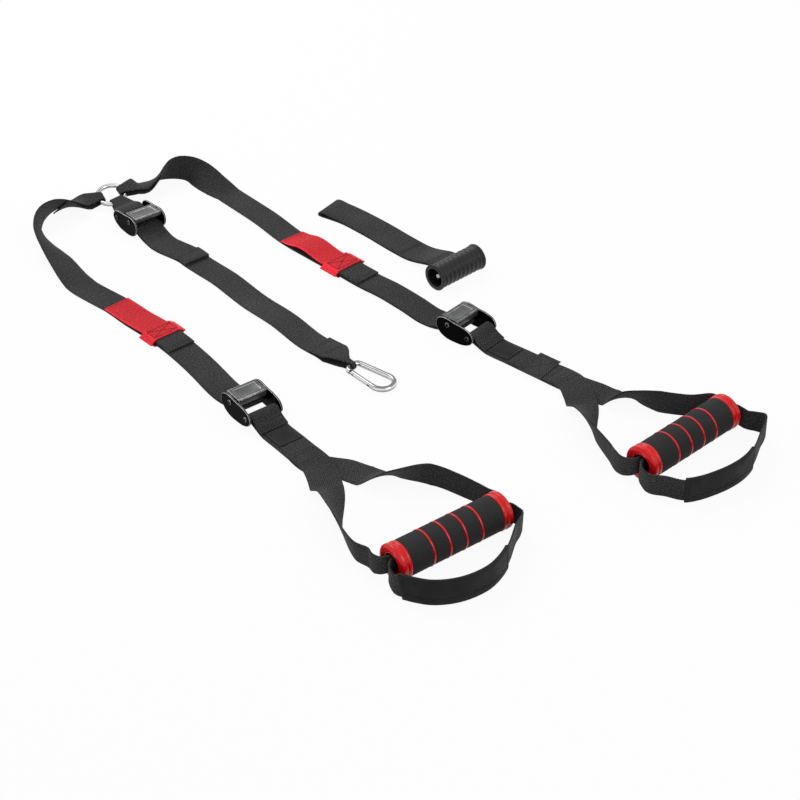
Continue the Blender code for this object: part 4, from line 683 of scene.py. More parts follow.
def smooth_cloth(name, colour, fineness):
    """Smooth tape or pad cloth with a fine grain and soft creases"""
    tree, shader = new_material(name)
    place = object_place(tree)
    crease = noise(tree, place, 60.0, 3.0)
    tone = blend(tree, noise(tree, place, fineness, 4.0, 0.6), 0.5, crease, 0.5)
    skin(tree, shader, ramp(tree, tone, colour, (0.3, 0.65), (0.5, 1), (0.72, 1.5)),
         calc(tree, "MULTIPLY_ADD", crease, -0.3, 0.82), tone, 0.35, 0.4 * MM, Specular_IOR_Level=0.16,
         Sheen_Weight=0.02)


def foam_skin(name, colour):
    """Soft foam: tiny open pores on a dull skin"""
    tree, shader = new_material(name)
    place = object_place(tree)
    pores = put(tree, "ShaderNodeTexVoronoi", {"Vector": place, "Scale": 1300.0}).outputs["Distance"]
    tone = blend(tree, pores, 0.45, noise(tree, place, 35.0, 3.0), 0.5)
    skin(tree, shader, ramp(tree, tone, colour, (0.2, 0.6), (0.5, 1), (0.8, 1.45)),
         calc(tree, "MULTIPLY_ADD", pores, 0.1, 0.82), tone, 0.4, 0.25 * MM, Specular_IOR_Level=0.3)


def moulded(name, colour, roughness, grain):
    """Moulded plastic or rubber: an even colour with a faint flow and grain"""
    tree, shader = new_material(name)
    place = object_place(tree)
    flow = noise(tree, place, 22.0)
    skin(tree, shader, ramp(tree, flow, colour, (0.3, 0.82), (0.55, 1), (0.8, 1.12)),
         calc(tree, "MULTIPLY_ADD", flow, 0.12, roughness - 0.06),
         calc(tree, "ADD", noise(tree, place, 900.0, 3.0), flow), grain, 0.1 * MM, Specular_IOR_Level=0.32)


def bare_metal(name, colour, roughness, brushed=0.0, painted_reflection=0.0):
    """Plated or bare metal with faint rubbing marks, and with a painted reflection: dark and bright bands by
    how far it faces up
    """
    tree, shader = new_material(name)
    place = object_place(tree)
    marks = noise(tree, scaled(tree, place, (1.0, 1.0, 6.0)), 160.0, 4.0, 0.6)
    cloud = calc(tree, "SUBTRACT", noise(tree, place, 30.0), 0.5)
    # Painted reflection: the colour is banded by how far the surface faces up; the noise cloud only wavers the
    # bands
    flank = calc(tree, "MULTIPLY_ADD", cloud, 0.10, calc(tree, "MULTIPLY_ADD", upness(tree), 0.5, 0.5))
    reflection_depths = ((0.0, 0.9), (0.28, 0.9), (0.40, 0.5), (0.50, 0.8), (0.60, 0.1), (0.80, -0.1), (0.86, 0.35),
              (0.90, 0.95), (0.955, 0.6), (1.0, 0.9))
    skin(tree, shader, ramp(tree, flank, colour, *[(spot, 1 - painted_reflection * depth) for spot, depth in reflection_depths]),
         calc(tree, "MULTIPLY_ADD", marks, 0.12, roughness - 0.05), marks, 0.04 + brushed, 0.05 * MM,
         Metallic=1.0)


def lacquered(name, colour, roughness, gloss, wear_and_light=1.9):
    """Lacquered metal: a hard skin with faint orange peel, worn lighter in patches, with painted light making
    it lighter where it faces up
    """
    tree, shader = new_material(name)
    place = object_place(tree)
    wear = noise(tree, place, 90.0, 4.0, 0.65)
    # Partly wear, partly painted light: random wear patches, plus a lighter tone painted where the surface
    # faces up
    wear_and_top_light = calc(tree, "MULTIPLY_ADD", upness(tree), 0.25, wear)
    skin(tree, shader, ramp(tree, wear_and_top_light, colour, (0.35, 0.7), (0.6, 1), (0.85, wear_and_light)),
         calc(tree, "MULTIPLY_ADD", wear, 0.16, roughness - 0.06), noise(tree, place, 420.0), 0.05, 0.08 * MM,
         Specular_IOR_Level=gloss)


def measure(name, description, default, **limits):
    """A length that a user can set, given in millimetres"""
    return FloatProperty(name=name, description=description, default=default * MM, unit="LENGTH", **limits)


def tint(name, description, *default):
    """A colour that a user can set"""
    return FloatVectorProperty(name=name, description=description, default=default, subtype="COLOR")


class TrainerWebbing(bpy.types.PropertyGroup):
    """Sizes and colours of the webbing and its stitching"""
    thickness: measure("Thickness", "Thickness of the webbing", 1.8, min=1 * MM, max=4 * MM)
    rib: measure("Thread width", "Width of one thread across the webbing", 2.0)
    pick: measure("Thread length", "Length of one visible thread along the webbing", 2.9)
    pinch: measure("Sleeve reach", "Half the width over which a red sleeve is thick", 18.5)
    hem: measure("Hem", "Thickness of a folded tail end", 2.4)
    label_thickness: measure("Label thickness", "Thickness of a label", 0.6)
    door_width: measure("Door strap", "Width of the door anchor's webbing", 43)
    yoke: FloatVectorProperty(name="Yokes", description="Length from the bar to the fork, left and right",
                              size=2, default=(104.5 * MM, 140.5 * MM), unit="LENGTH")
    stitch: measure("Stitch length", "Length of one stitch", 2.6)
    thread: measure("Thread thickness", "Thickness of the sewing thread", 0.7)
    stitch_gap: measure("Stitch gap", "Gap between two stitches", 0.7)
    black: tint("Black webbing", "Colour of the straps", 0.0190, 0.0190, 0.0195)
    red: tint("Red webbing", "Colour of the adjusters", 0.50, 0.014, 0.022)
    black_thread: tint("Black thread", "Colour of the straps' stitches", 0.004, 0.004, 0.004)
    grey_thread: tint("Grey thread", "Colour of the labels' stitches", 0.075, 0.075, 0.077)
    red_thread: tint("Red thread", "Colour of the adjusters' stitches", 0.17, 0.003, 0.005)
    label: tint("Label", "Colour of the bare labels", 0.0105, 0.0105, 0.0110)
    pad: tint("Foot pad", "Colour of the foot loops' padded sleeves", 0.0105, 0.0105, 0.0110)


class TrainerGrips(bpy.types.PropertyGroup):
    """Sizes and colours of the grips"""
    cap_length: measure("Cap length", "Length of a cap outside the foam", 13)
    cap_lip: measure("Cap lip", "Length of a cap past its tube", 4.5)
    flange: measure("Flange", "Radius of a cap's flange", 21.9)
    core_radius: measure("Tube", "Radius of the tube in the foam", 14)
    core_bore: measure("Bore", "Radius of the tube's bore", 11.5)
    foam_radius: measure("Foam", "Radius of the foam", 21)
    stripe: measure("Stripe", "Width of a stripe", 2.3)
    stripe_depth: measure("Stripe groove", "Depth of a stripe's groove", 1.4)
    fit: measure("Fit", "Gap between parts that touch", 0.3)
    edge_round: measure("Edge rounding", "Rounding of the caps' edges", 1.3)
    foam_swell: measure("Foam swell", "How far the foam swells between two stripes", 0.25)
    steps: IntProperty(name="Steps", description="Steps round a grip", default=72, min=24, max=180)
    red: tint("Caps", "Colour of the caps and stripes", 0.74, 0.008, 0.010)
    foam: tint("Foam", "Colour of the foam", 0.019, 0.019, 0.0195)


class TrainerMetal(bpy.types.PropertyGroup):
    """Sizes and colours of the metal fittings and the door roller"""
    edge_round: measure("Edge rounding", "Rounding of the buckles' edges", 0.5)
    bar: FloatVectorProperty(name="Base bar", description="Back, front and depth below the pin of a base bar",
                             default=(-5 * MM, 7 * MM, 10.2 * MM), unit="LENGTH")
    cheek: measure("Cheek thickness", "Thickness of a buckle's cheeks", 2.2)
    ring: measure("Ring", "Radius of the ring", 19)
    ring_wire: measure("Ring wire", "Radius of the ring's wire", 3)
    wire: measure("Carabiner wire", "Radius of the carabiner's wire", 3.5)
    end: measure("Carabiner end", "Radius of the carabiner's wide end", 14.5)
    corner: measure("Carabiner corner", "Radius of the carabiner's seat corners", 6)
    seat: measure("Carabiner seat", "Width of the carabiner's seat", 8)
    pin_inset: measure("Gate pin", "Distance of the gate's pin from the seat corner", 6)
    nose: measure("Gate nose", "Length of the nose that catches the gate", 3.4)
    roller_radius: measure("Roller", "Radius of the door roller", 15.3)
    roller_flange: measure("Roller rims", "Radius of the roller's rims", 17.5)
    roller_bore: measure("Roller bore", "Radius of the roller's bore", 12.5)
    roller_rim: measure("Roller rim", "Length of the roller's rims", 4)
    roller_rib: measure("Roller ribs", "Height of the roller's ribs", 1.4)
    ribs: IntProperty(name="Ribs", description="Number of the roller's ribs", default=9, min=1, max=40)
    roller_seam: measure("Roller seam", "Distance of the seam by the roller from its middle", 34)
    fold_seam: measure("Strap seam", "Distance of the seam along the strap from the roller", 88)
    rod: measure("Rod", "Radius of the roller's rod", 3)
    black: tint("Buckles", "Colour of the buckles' lacquer", 0.0018, 0.0018, 0.0019)
    # Painted highlight: the buckles' eased edges get a light lacquer that stands for the light they catch
    rim: tint("Buckle edges", "Colour of the buckles' rubbed edges", 0.30, 0.30, 0.305)
    # Painted reflection: the levers' lacquer is lighter than the cheeks' to stand for the bright surroundings
    # mirrored in their plates
    lever: tint("Levers", "Colour of the levers' lacquer", 0.062, 0.063, 0.065)
    chrome: tint("Chrome", "Colour of the ring and the carabiner", 0.78, 0.78, 0.79)
    steel: tint("Steel", "Colour of the pins and springs", 0.50, 0.50, 0.51)
    roller: tint("Roller colour", "Colour of the door roller", 0.0110, 0.0110, 0.0115)


class TrainerStage(bpy.types.PropertyGroup):
    """The floor, the light and the camera"""
    camera_place: FloatVectorProperty(name="Camera place", description="Where the camera stands",
                                      default=(0.03138, -1.99721, 1.366), subtype="TRANSLATION",
                                      unit="LENGTH")
    camera_pitch: FloatProperty(name="Camera pitch", description="How far the camera looks down",
                                default=math.radians(35.5), unit="ROTATION")
    lens: FloatProperty(name="Lens", description="Focal length in millimetres", default=90.0)
    floor_size: measure("Floor", "Width of the floor", 16000)
    floor_colour: tint("Floor colour", "Colour of the floor", 0.86, 0.86, 0.86)
    floor_glow: FloatProperty(name="Floor white", description="Share of plain white in the floor as seen",
                              default=0.93, min=0, max=1)
    sky: FloatProperty(name="Sky", description="Strength of the even light from all round", default=0.62)
    key: FloatProperty(name="Key lamp", description="Power of the large lamp in watts", default=34.0)
    fill: FloatProperty(name="Fill lamp", description="Power of the small lamp in watts", default=14.0)


def materials():
    """The finishes, made once and found again by name"""
    scene = bpy.context.scene
    if "webbing_black" in bpy.data.materials:
        return bpy.data.materials
    cloth, grips, metal = scene.trainer_webbing, scene.trainer_grips, scene.trainer_metal
    woven("webbing_black", cloth.black, cloth.rib, cloth.pick)
    woven("webbing_red", cloth.red, cloth.rib, cloth.pick, selvage=1.5, contrast=0.45)
    for name, colour, fineness in (("thread_black", cloth.black_thread, 2500.0),
                                   ("thread_red", cloth.red_thread, 2500.0),
                                   ("thread_grey", cloth.grey_thread, 2500.0),
                                   ("label_cloth", cloth.label, 1400.0), ("pad_cloth", cloth.pad, 900.0)):
        smooth_cloth(name, colour, fineness)
    foam_skin("grip_foam", grips.foam)
    moulded("cap_plastic", grips.red, 0.24, 0.06)
    moulded("roller_rubber", metal.roller, 0.36, 0.08)
    bare_metal("chrome_plate", metal.chrome, 0.12, painted_reflection=0.9)
    bare_metal("spring_metal", metal.steel, 0.3, 0.05)
    lacquered("buckle_lacquer", metal.black, 0.18, 0.012)
    # The buckles' edge lacquer is a painted highlight, and the levers' lighter lacquer a painted reflection
    lacquered("buckle_rim", metal.rim, 0.22, 0.9, 3.0)
    lacquered("lever_lacquer", metal.lever, 0.30, 0.35, 1.5)
    return bpy.data.materials


def web_piece(name, node, near, body, material="webbing_black", thickness=None):
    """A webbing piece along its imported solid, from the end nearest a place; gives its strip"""
    strip = read_strip(node, near)
    thickness = thickness or bpy.context.scene.trainer_webbing.thickness
    shape = sweep(strip, lambda width: webbing_section(width, thickness))
    piece = new_piece(name, shape, material, body, [node])
    return strip


def tape(name, node, strip, search, thickness, body, material="webbing_black"):
    """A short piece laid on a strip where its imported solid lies; gives its strip, its height and its side"""
    (s0, s1), (u0, u1), (w0, w1) = span_of(node, strip, *search)
    stretch = strip.part(s0, s1)
    middle, wide = (w0 + w1) / 2, u1 - u0
    for stop in stretch.stops:
        stop.width = wide
    shape = sweep(stretch, lambda _: webbing_section(wide, thickness), middle)
    piece = new_piece(name, shape, material, body, [node])
    return stretch, abs(middle) + thickness / 2, 1 if middle > 0 else -1


def sewn(name, strip, lines, height, body, material="thread_black", slot="webbing", way=None, bold=1.0):
    """Lines of stitches (distance along, to the side) on a strip's upper face or on the side way gives"""
    look = bpy.context.scene.trainer_webbing
    way = way or strip.upward(sum(mark for mark, _ in lines[0]) / len(lines[0]))
    half = look.thread * bold / 2
    shape = bmesh.new()
    for (s0, u0), (s1, u1) in (pair for line in lines for pair in zip(line, line[1:])):
        count = max(1, round(math.hypot(s1 - s0, u1 - u0) / (look.stitch + look.stitch_gap)))
        for i in range(count):
            share = (i + 0.5) / count
            place, along, side, facing, _ = strip.at(s0 + (s1 - s0) * share)
            place = place + side * (u0 + (u1 - u0) * share) + facing * (way * height)
            lie = (along * (s1 - s0) + side * (u1 - u0)).normalized()
            across = facing.cross(lie).normalized()
            spot = seat(place, (lie, across, lie.cross(across)), (look.stitch / 2, half, half))
            bmesh.ops.create_uvsphere(shape, u_segments=6, v_segments=4, radius=1, matrix=spot)
    new_piece(name, shape, material, body, [])


def rows(marks, half_width):
    """Straight rows of stitches across a strip"""
    return [[(mark, -half_width), (mark, half_width)] for mark in marks]


def both_ends(strip, inset):
    """The marks at one distance from a strip's two ends"""
    return inset, strip.length - inset


def box_lines(strip, inset, half_width, crossed=True):
    """A box sewn round a strip, with its crossed diagonals"""
    start, end = both_ends(strip, inset)
    corners = [(start, -half_width), (end, -half_width), (end, half_width), (start, half_width)]
    return [[*corners, corners[0]], *([corners[::2], corners[1::2]] if crossed else [])]


def zigzag(strip, inset, middle, reach, pitch):
    """A zigzag of stitches along a strip"""
    start, end = both_ends(strip, inset)
    count = max(2, round((end - start) / pitch))
    return [[(start + (end - start) * i / count, middle + (reach if i % 2 else -reach))
             for i in range(count + 1)]]


class TRAINER_OT_straps(bpy.types.Operator):
    """Makes the two legs, the centre strap and the loop at the ring"""
    bl_idname = "trainer.straps"
    bl_label = "Straps"

    def execute(self, context):
        thickness = context.scene.trainer_webbing.thickness
        starts = {"left_leg": "ring_turn", "right_leg": "ring_turn", "centre": "carabiner_swing"}
        for name, joint in starts.items():
            strip = web_piece(name + "_webbing", name + "_strap", joint_axis(joint)[0], "straps")
            half = CENTRE_EYE_HALF if name == "centre" else LEG_EYE_HALF
            sewn(name + "_eye_stitches", strip, rows(EYE_ROWS, half), thickness / 2, "straps")
        turn = strip.locate(joint_axis("centre_lever_open")[0])[0]
        hem, height, way = tape("centre_hem_webbing", "centre_tail_hem", strip, (0.0, turn - BUCKLE_ROOM),
                                thickness, "straps")
        sewn("centre_hem_stitches", hem, rows(both_ends(hem, HEM_INSET), HEM_HALF), height, "straps", way=way)
        web_piece("anchor_webbing", "anchor_loop", joint_axis("ring_turn")[0], "straps")
        return {"FINISHED"}


class TRAINER_OT_adjusters(bpy.types.Operator):
    """Makes the red adjusters and the hems at the straps' tails"""
    bl_idname = "trainer.adjusters"
    bl_label = "Adjusters"

    def execute(self, context):
        look = context.scene.trainer_webbing
        ring = joint_axis("ring_turn")[0]
        for name in SIDES:
            strip = read_strip(name + "_leg_strap", ring)
            lever = joint_axis(name + "_lever_open")[0]
            node = name + "_adjuster_sleeve"
            (s0, s1), (u0, u1), (w0, w1) = span_of(node, strip, 0.0, strip.locate(lever)[0] - BUCKLE_ROOM)
            stretch = strip.part(s0, s1)
            middle, thick = (w0 + w1) / 2, w1 - w0
            section = pinched_section(u1 - u0, thick, look.pinch, look.thickness)
            shape = sweep(stretch, lambda _: section, middle)
            open_ends(shape, look.thickness * sleeve_wall_share, SLEEVE_DEPTH)
            red = ("thread_red", "red_webbing")
            new_piece(name + "_sleeve_webbing", shape, "webbing_red", "straps", [node])
            height = stretch.upward(stretch.length / 2) * middle + thick / 2
            sewn(name + "_sleeve_stitches", stretch, box_lines(stretch, SLEEVE_INSET, SLEEVE_HALF), height,
                 "straps", *red, bold=SLEEVE_BOLD)
            tab = web_piece(name + "_tab_webbing", name + "_pull_tab", stretch.stops[0].place, "straps",
                            "webbing_red")
            far = tab.length - TAB_INSET
            if (tab.at(0)[0] - lever).length > (tab.at(far)[0] - lever).length:
                far = TAB_INSET
            sewn(name + "_tab_stitches", tab, rows((far, far + TAB_PITCH), TAB_HALF), look.thickness / 2,
                 "straps", *red)
            hem = web_piece(name + "_hem_webbing", name + "_tail_hem", lever, "straps", thickness=look.hem)
            sewn(name + "_hem_stitches", hem, rows(TAIL_ROWS, HEM_HALF), look.hem / 2, "straps")
        return {"FINISHED"}


class TRAINER_OT_handles(bpy.types.Operator):
    """Makes the handles' webbing, labels, patch, foot loops and pads"""
    bl_idname = "trainer.handles"
    bl_label = "Handles"

    def execute(self, context):
        look = context.scene.trainer_webbing
        top = look.thickness / 2
        for name, yoke in zip(SIDES, look.yoke):
            body = name + "_handle"
            bar, axis = joint_axis(name + "_handle_swing")
            low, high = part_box(name + "_label")
            strip = web_piece(name + "_handle_webbing", name + "_handle_strap", (low + high) / 2, body)
            sewn(name + "_handle_hem_stitches", strip, rows(HANDLE_ROWS, HEM_HALF), top, body)
            search = (strip.length - LABEL_SEARCH, strip.length)
            label, height, way = tape(name + "_label_cloth", name + "_label", strip, search,
                                      look.label_thickness, body, "label_cloth")
            sewn(name + "_label_stitches", label, box_lines(label, LABEL_INSET, LABEL_HALF, False), height,
                 body, "thread_grey", "label", way)
            fork = strip.locate(bar - axis.cross(UP) * yoke, *search)[0]
            marks = [fork + step for step in YOKE_ROWS]
            sewn(name + "_yoke_stitches", strip, rows(marks, YOKE_HALF), top, body)
            if name == "right":
                patch, height, way = tape("right_patch_webbing", "right_yoke_patch", strip, search,
                                          PATCH_THICKNESS, body)
                sewn("right_patch_stitches", patch, box_lines(patch, PATCH_INSET, PATCH_HALF), height, body,
                     way=way)
            grip = joint_axis(name + "_grip_spin")[0]
            loop = web_piece(name + "_foot_webbing", name + "_foot_strap", grip, body)
            (s0, s1), (u0, u1), (w0, w1) = span_of(name + "_foot_pad", loop)
            stretch, middle, thick = loop.part(s0, s1), (w0 + w1) / 2, w1 - w0
            shape = sweep(stretch, lambda _: tube_section(u1 - u0, thick), middle)
            pad = new_piece(name + "_pad_cloth", shape, "pad_cloth", body, [name + "_foot_pad"])
            place, _, side, facing, _ = stretch.at(stretch.length / 2)
            way = 1 if facing.dot(place - grip) > 0 else -1
            low_side = -1 if side.z > 0 else 1
            lines = zigzag(stretch, PAD_INSET, low_side * ZIGZAG_MIDDLE, ZIGZAG_REACH, ZIGZAG_PITCH)
            lines += rows(both_ends(stretch, PAD_ROW_INSET), PAD_ROW_HALF)
            for face, spot in ((way, "outer"), (-way, "inner")):
                sewn(f"{name}_pad_{spot}_stitches", stretch, lines, face * middle + thick / 2, body,
                     "thread_black", "pad_fabric", face, PAD_BOLD)
        return {"FINISHED"}


class TRAINER_OT_grips(bpy.types.Operator):
    """Makes the foam grips with their caps and stripes"""
    bl_idname = "trainer.grips"
    bl_label = "Grips"

    def execute(self, context):
        look = context.scene.trainer_grips
        bore, tube, flange = look.core_radius + look.fit, look.core_bore, look.flange
        bed = look.foam_radius - look.stripe_depth
        for name in SIDES:
            place, ahead = joint_axis(name + "_grip_spin")

            def reach_of(node):
                return span_along(f"{name}_grip_{node}", place, ahead)

            def part(piece, node, outline, material="cap_plastic", slot="red_plastic"):
                return new_piece(f"{name}_{piece}", turned(place, ahead, outline, look.steps), material,
                                 name + "_grip", [f"{name}_grip_{node}"])

            half, core, foam_half = (reach_of(node)[1] for node in ("far_cap", "core", "foam"))
            inner, lip = half - look.cap_length, half - look.cap_lip
            edges = [inner + look.cap_length * share for share in cap_step_shares]
            collar = flange - CAP_COLLAR_DROP
            cap = [(half, flange - CAP_END_DROP), (edges[3], flange), (edges[2], flange),
                   (edges[1], flange - CAP_GROOVE_DROP), (edges[0], collar), (inner, collar), (inner, bore),
                   (lip, bore), (lip, tube), (half - look.cap_lip / 2, tube), (half, tube + 4 * look.fit)]
            for way, end in ((1, "far"), (-1, "near")):
                outline = rounded([(way * along, radius) for along, radius in cap], look.edge_round, 4)
                part(end + "_cap_plastic", end + "_cap", outline)
            part("core_plastic", "core", [(core, tube), (core, look.core_radius), (-core, look.core_radius),
                                          (-core, tube)])
            spots = {letter: sum(reach_of("stripe_" + letter)) / 2 for letter in "abcd"}
            reach = look.stripe / 2 + look.fit
            marks = [-foam_half, *[spot + way * reach for spot in sorted(spots.values()) for way in (-1, 1)],
                     foam_half]
            foam = [(-foam_half, bore)]
            for start, end in zip(marks[::2], marks[1::2]):
                for i in range(FOAM_POINTS):
                    share = i / (FOAM_POINTS - 1)
                    swell = look.foam_swell * (1 - (2 * share - 1) ** 4)
                    foam.append((start + (end - start) * share, look.foam_radius - look.foam_swell + swell))
                if end < foam_half:
                    foam += [(end, bed), (end + 2 * reach, bed)]
            sleeve = part("foam_sleeve", "foam", [*foam, (foam_half, bore)], "grip_foam", "foam")
            outer, low = look.foam_radius + STRIPE_PROUD, bed + look.fit
            for letter, spot in spots.items():
                start, end = spot - look.stripe / 2, spot + look.stripe / 2
                outline = rounded([(start, low), (start, outer), (end, outer), (end, low)], STRIPE_ROUND)
                part(f"stripe_{letter}_plastic", "stripe_" + letter, outline)
        return {"FINISHED"}


class TRAINER_OT_buckles(bpy.types.Operator):
    """Makes the cam buckles"""
    bl_idname = "trainer.buckles"
    bl_label = "Buckles"

    def execute(self, context):
        look = context.scene.trainer_metal
        start, end, rise = look.bar
        for name in ("centre", *SIDES):
            node = name + "_buckle_frame"
            pin, axis = joint_axis(name + "_lever_open")
            side, ahead = -axis, -axis.cross(UP)
            base = Vector((pin.x, pin.y, 0))
            (x0, x1), (y0, y1), (z0, z1) = (span_along(node, base, way) for way in (ahead, side, UP))
            outline = [((x0 + x1) / 2 + x * (x1 - x0), z0 + z * (z1 - z0)) for x, z in cheek_outline_shares]
            shape = bmesh.new()
            for way, edge in ((1, y1), (-1, y0)):
                inside = side * (edge - way * look.cheek)
                stops = [Stop(base + ahead * x + UP * z + inside, side, 1) for x, z in outline]
                places = [stop.place for stop in Strip(stops, True).stops[:-1]]
                slab(shape, places, side * way * look.cheek, look.edge_round, FACE_INSET, FACE_DEPTH)
            place = base + ahead * ((start + end) / 2) + UP * (pin.z - rise)
            size = (end - start, y1 - y0 - look.cheek, BAR_THICKNESS)
            block(shape, place, (ahead, side, UP), size, BAR_ROUND)
            # The cheeks' eased edges take the painted edge highlight; the levers take a lighter lacquer, a
            # painted reflection
            new_piece(name + "_buckle_body", shape, "buckle_lacquer", "straps", [node],
                      "buckle_rim")
            for part, material, body, slot, width in (
                    ("_cam_lever", "lever_lacquer", name + "_lever", "black_metal", look.edge_round),
                    ("_lever_pin", "buckle_lacquer", "straps", "spring_steel", PIN_ROUND),
                    ("_anchor_bar", "buckle_lacquer", "straps", "black_metal", PIN_ROUND)):
                refined(name + part, material, body, width)
            repaint(name + "_lever_spring", "spring_metal")
        return {"FINISHED"}


class TRAINER_OT_ring(bpy.types.Operator):
    """Makes the ring and the carabiner with its gate"""
    bl_idname = "trainer.ring"
    bl_label = "Ring and carabiner"

    def execute(self, context):
        look = context.scene.trainer_metal
        wire = look.wire
        outline = [(up, look.ring + out) for out, up in wire_section(look.ring_wire, RING_WIRE_STEPS)]
        ring = turned(*joint_axis("ring_turn"), outline, RING_STEPS)
        new_piece("ring_chrome", ring, "chrome_plate", "ring", ["ring"])

        origin, swing = joint_axis("carabiner_swing")
        pin, up = joint_axis("gate_open")
        left = -swing
        ahead = left.cross(up).normalized()
        reach = span_along("carabiner_body", origin, ahead)[1] - wire
        corner, end = (look.corner, look.seat / 2), (reach - look.end, 0.0)
        gap = math.hypot(end[0] - corner[0], corner[1])
        slope = math.asin((look.end - look.corner) / gap) - math.atan2(corner[1], end[0] - corner[0])
        path = arc(corner, look.corner, 2 * QUARTER, QUARTER + slope, CORNER_STEPS)
        mirror = [(x, -y) for x, y in path]
        tip = arc(end, look.end, QUARTER + slope, -QUARTER - slope, END_STEPS)
        (x0, y0), (x1, y1) = path[-1], tip[0]
        flank = [(x0 + (x1 - x0) * share, y0 + (y1 - y0) * share) for share in flank_shares]
        lower, upper = Vector((*mirror[-1], 0)), Vector((*tip[-1], 0))
        run = (upper - lower).normalized()
        hinge = lower + run * look.pin_inset
        gate_length = (upper - lower).length - look.pin_inset - look.nose
        start, stop = hinge - run * (wire + JOINT_GAP), hinge + run * (gate_length + JOINT_GAP)
        points = [start.to_tuple()[:2], *reversed(mirror), *path, *flank, *tip, stop.to_tuple()[:2]]
        strip = Strip([Stop(origin + ahead * x + left * y, up, 1) for x, y in points])
        shape = sweep(strip, lambda _: wire_section(wire))
        way = (ahead * run.x + left * run.y).normalized()
        axes = (way, up.cross(way), up)
        fork = wire * fork_reach_share + wire + ROOT
        block(shape, pin + way * (wire * fork_reach_share - fork / 2), axes,
              (fork, wire * fork_width_share, FORK_THICKNESS), FITTING_ROUND)
        nose = look.nose + ROOT
        block(shape, pin + way * (gate_length + JOINT_GAP - look.nose + nose / 2), axes,
              (nose, wire * nose_width_share, NOSE_THICKNESS), FITTING_ROUND)
        new_piece("carabiner_wire", shape, "chrome_plate", "carabiner", ["carabiner_body"])

        radius = wire - GATE_GAP
        steps = [QUARTER * i / GATE_ROUND_STEPS for i in range(GATE_ROUND_STEPS)]
        outline = [(gate_length, 0.0), (gate_length, radius * (1 - gate_round_share)),
                   (gate_length - radius * gate_round_share, radius),
                   *((-radius * math.sin(angle), radius * math.cos(angle)) for angle in steps),
                   (-radius, 0.0)]
        gate = turned(pin, way, outline, ROD_STEPS)
        slot = wire * gate_slot_share
        room = look.nose + GATE_GAP
        for middle, size in ((slot / 2 - radius, (slot + 2 * radius, 4 * radius, GATE_SLOT)),
                             (gate_length - room / 2 + ROOT / 2, (room + ROOT, 4 * radius, GATE_NOTCH))):
            gate = cut(gate, block(bmesh.new(), pin + way * middle, axes, size))
        new_piece("carabiner_gate_bar", gate, "chrome_plate", "gate", ["carabiner_gate"])
        for node in ("carabiner_gate_pin", "carabiner_gate_spring"):
            repaint(node, "spring_metal")
        return {"FINISHED"}


class TRAINER_OT_door_anchor(bpy.types.Operator):
    """Makes the door anchor's webbing, its ribbed roller and its rod"""
    bl_idname = "trainer.door_anchor"
    bl_label = "Door anchor"

    def execute(self, context):
        look, cloth = context.scene.trainer_metal, context.scene.trainer_webbing
        spots = [vertex.co for vertex in frame["nodes"]["door_rod"].data.vertices]
        centre = sum(spots, Vector()) / len(spots)
        tip = max(spots, key=lambda spot: (spot - centre).length)
        near = [spot for spot in spots if (spot - tip).length < look.rod * rod_end_share]
        high, low = (pick(near, key=lambda spot: spot.z) for pick in (max, min))
        way = ((high + low) / 2 - centre).normalized()
        half = span_along("door_roller", centre, way)[1]
        reach, top, rim = look.roller_radius, look.roller_radius + look.roller_rib, look.roller_flange
        inside, shoulder = half - look.roller_rim, half - look.roller_rim / 2
        outline = [(half, look.roller_bore), (half, rim), (shoulder, rim), (inside, reach)]
        pitch = 2 * inside / look.ribs
        for i in range(look.ribs):
            start = inside - pitch * i
            outline += [(start - pitch * share, radius)
                        for share, radius in zip(rib_shares, (top, top, reach, reach))]
        outline += [(-shoulder, rim), (-half, rim), (-half, look.roller_bore)]
        roller = turned(centre, way, rounded(outline, ROLLER_ROUND), ROLLER_STEPS)
        low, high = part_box("door_strap")
        across = UP.cross(way)
        if across.dot((low + high) / 2 - centre) < 0:
            across = -across
        slot = block(bmesh.new(), centre + across * (reach / 2 + SLOT_SIDE), (way, across, UP),
                     (cloth.door_width + SLOT_SIDE, reach + SLOT_BACK, SLOT_HEIGHT))
        new_piece("door_roller_rubber", cut(roller, slot), "roller_rubber", "door_anchor",
                  ["door_roller"])
        end, neck = span_along("door_rod", centre, way)[1], look.rod - ROD_ROUND
        outline = [(-end, 0.0), (-end, neck), (-end + ROD_ROUND, look.rod), (end - ROD_ROUND, look.rod),
                   (end, neck), (end, 0.0)]
        new_piece("door_rod_steel", turned(centre, way, outline, ROD_STEPS), "spring_metal", "door_anchor",
                  ["door_rod"])
        strip = web_piece("door_webbing", "door_strap", centre - across * reach, "door_anchor")
        for away, name in ((look.roller_seam, "roller"), (look.fold_seam, "fold")):
            near = sorted(strip.marks, key=lambda m: abs((strip.at(m)[0] - centre).dot(across) - away))[:4]
            mark = max(near, key=lambda m: strip.at(m)[0].z)
            lines = rows((mark - DOOR_ROW_REACH, mark + DOOR_ROW_REACH), DOOR_HALF)
            sewn(f"door_{name}_stitches", strip, lines, cloth.thickness / 2, "door_anchor",
                 way=strip.upward(mark), bold=DOOR_BOLD)
        return {"FINISHED"}


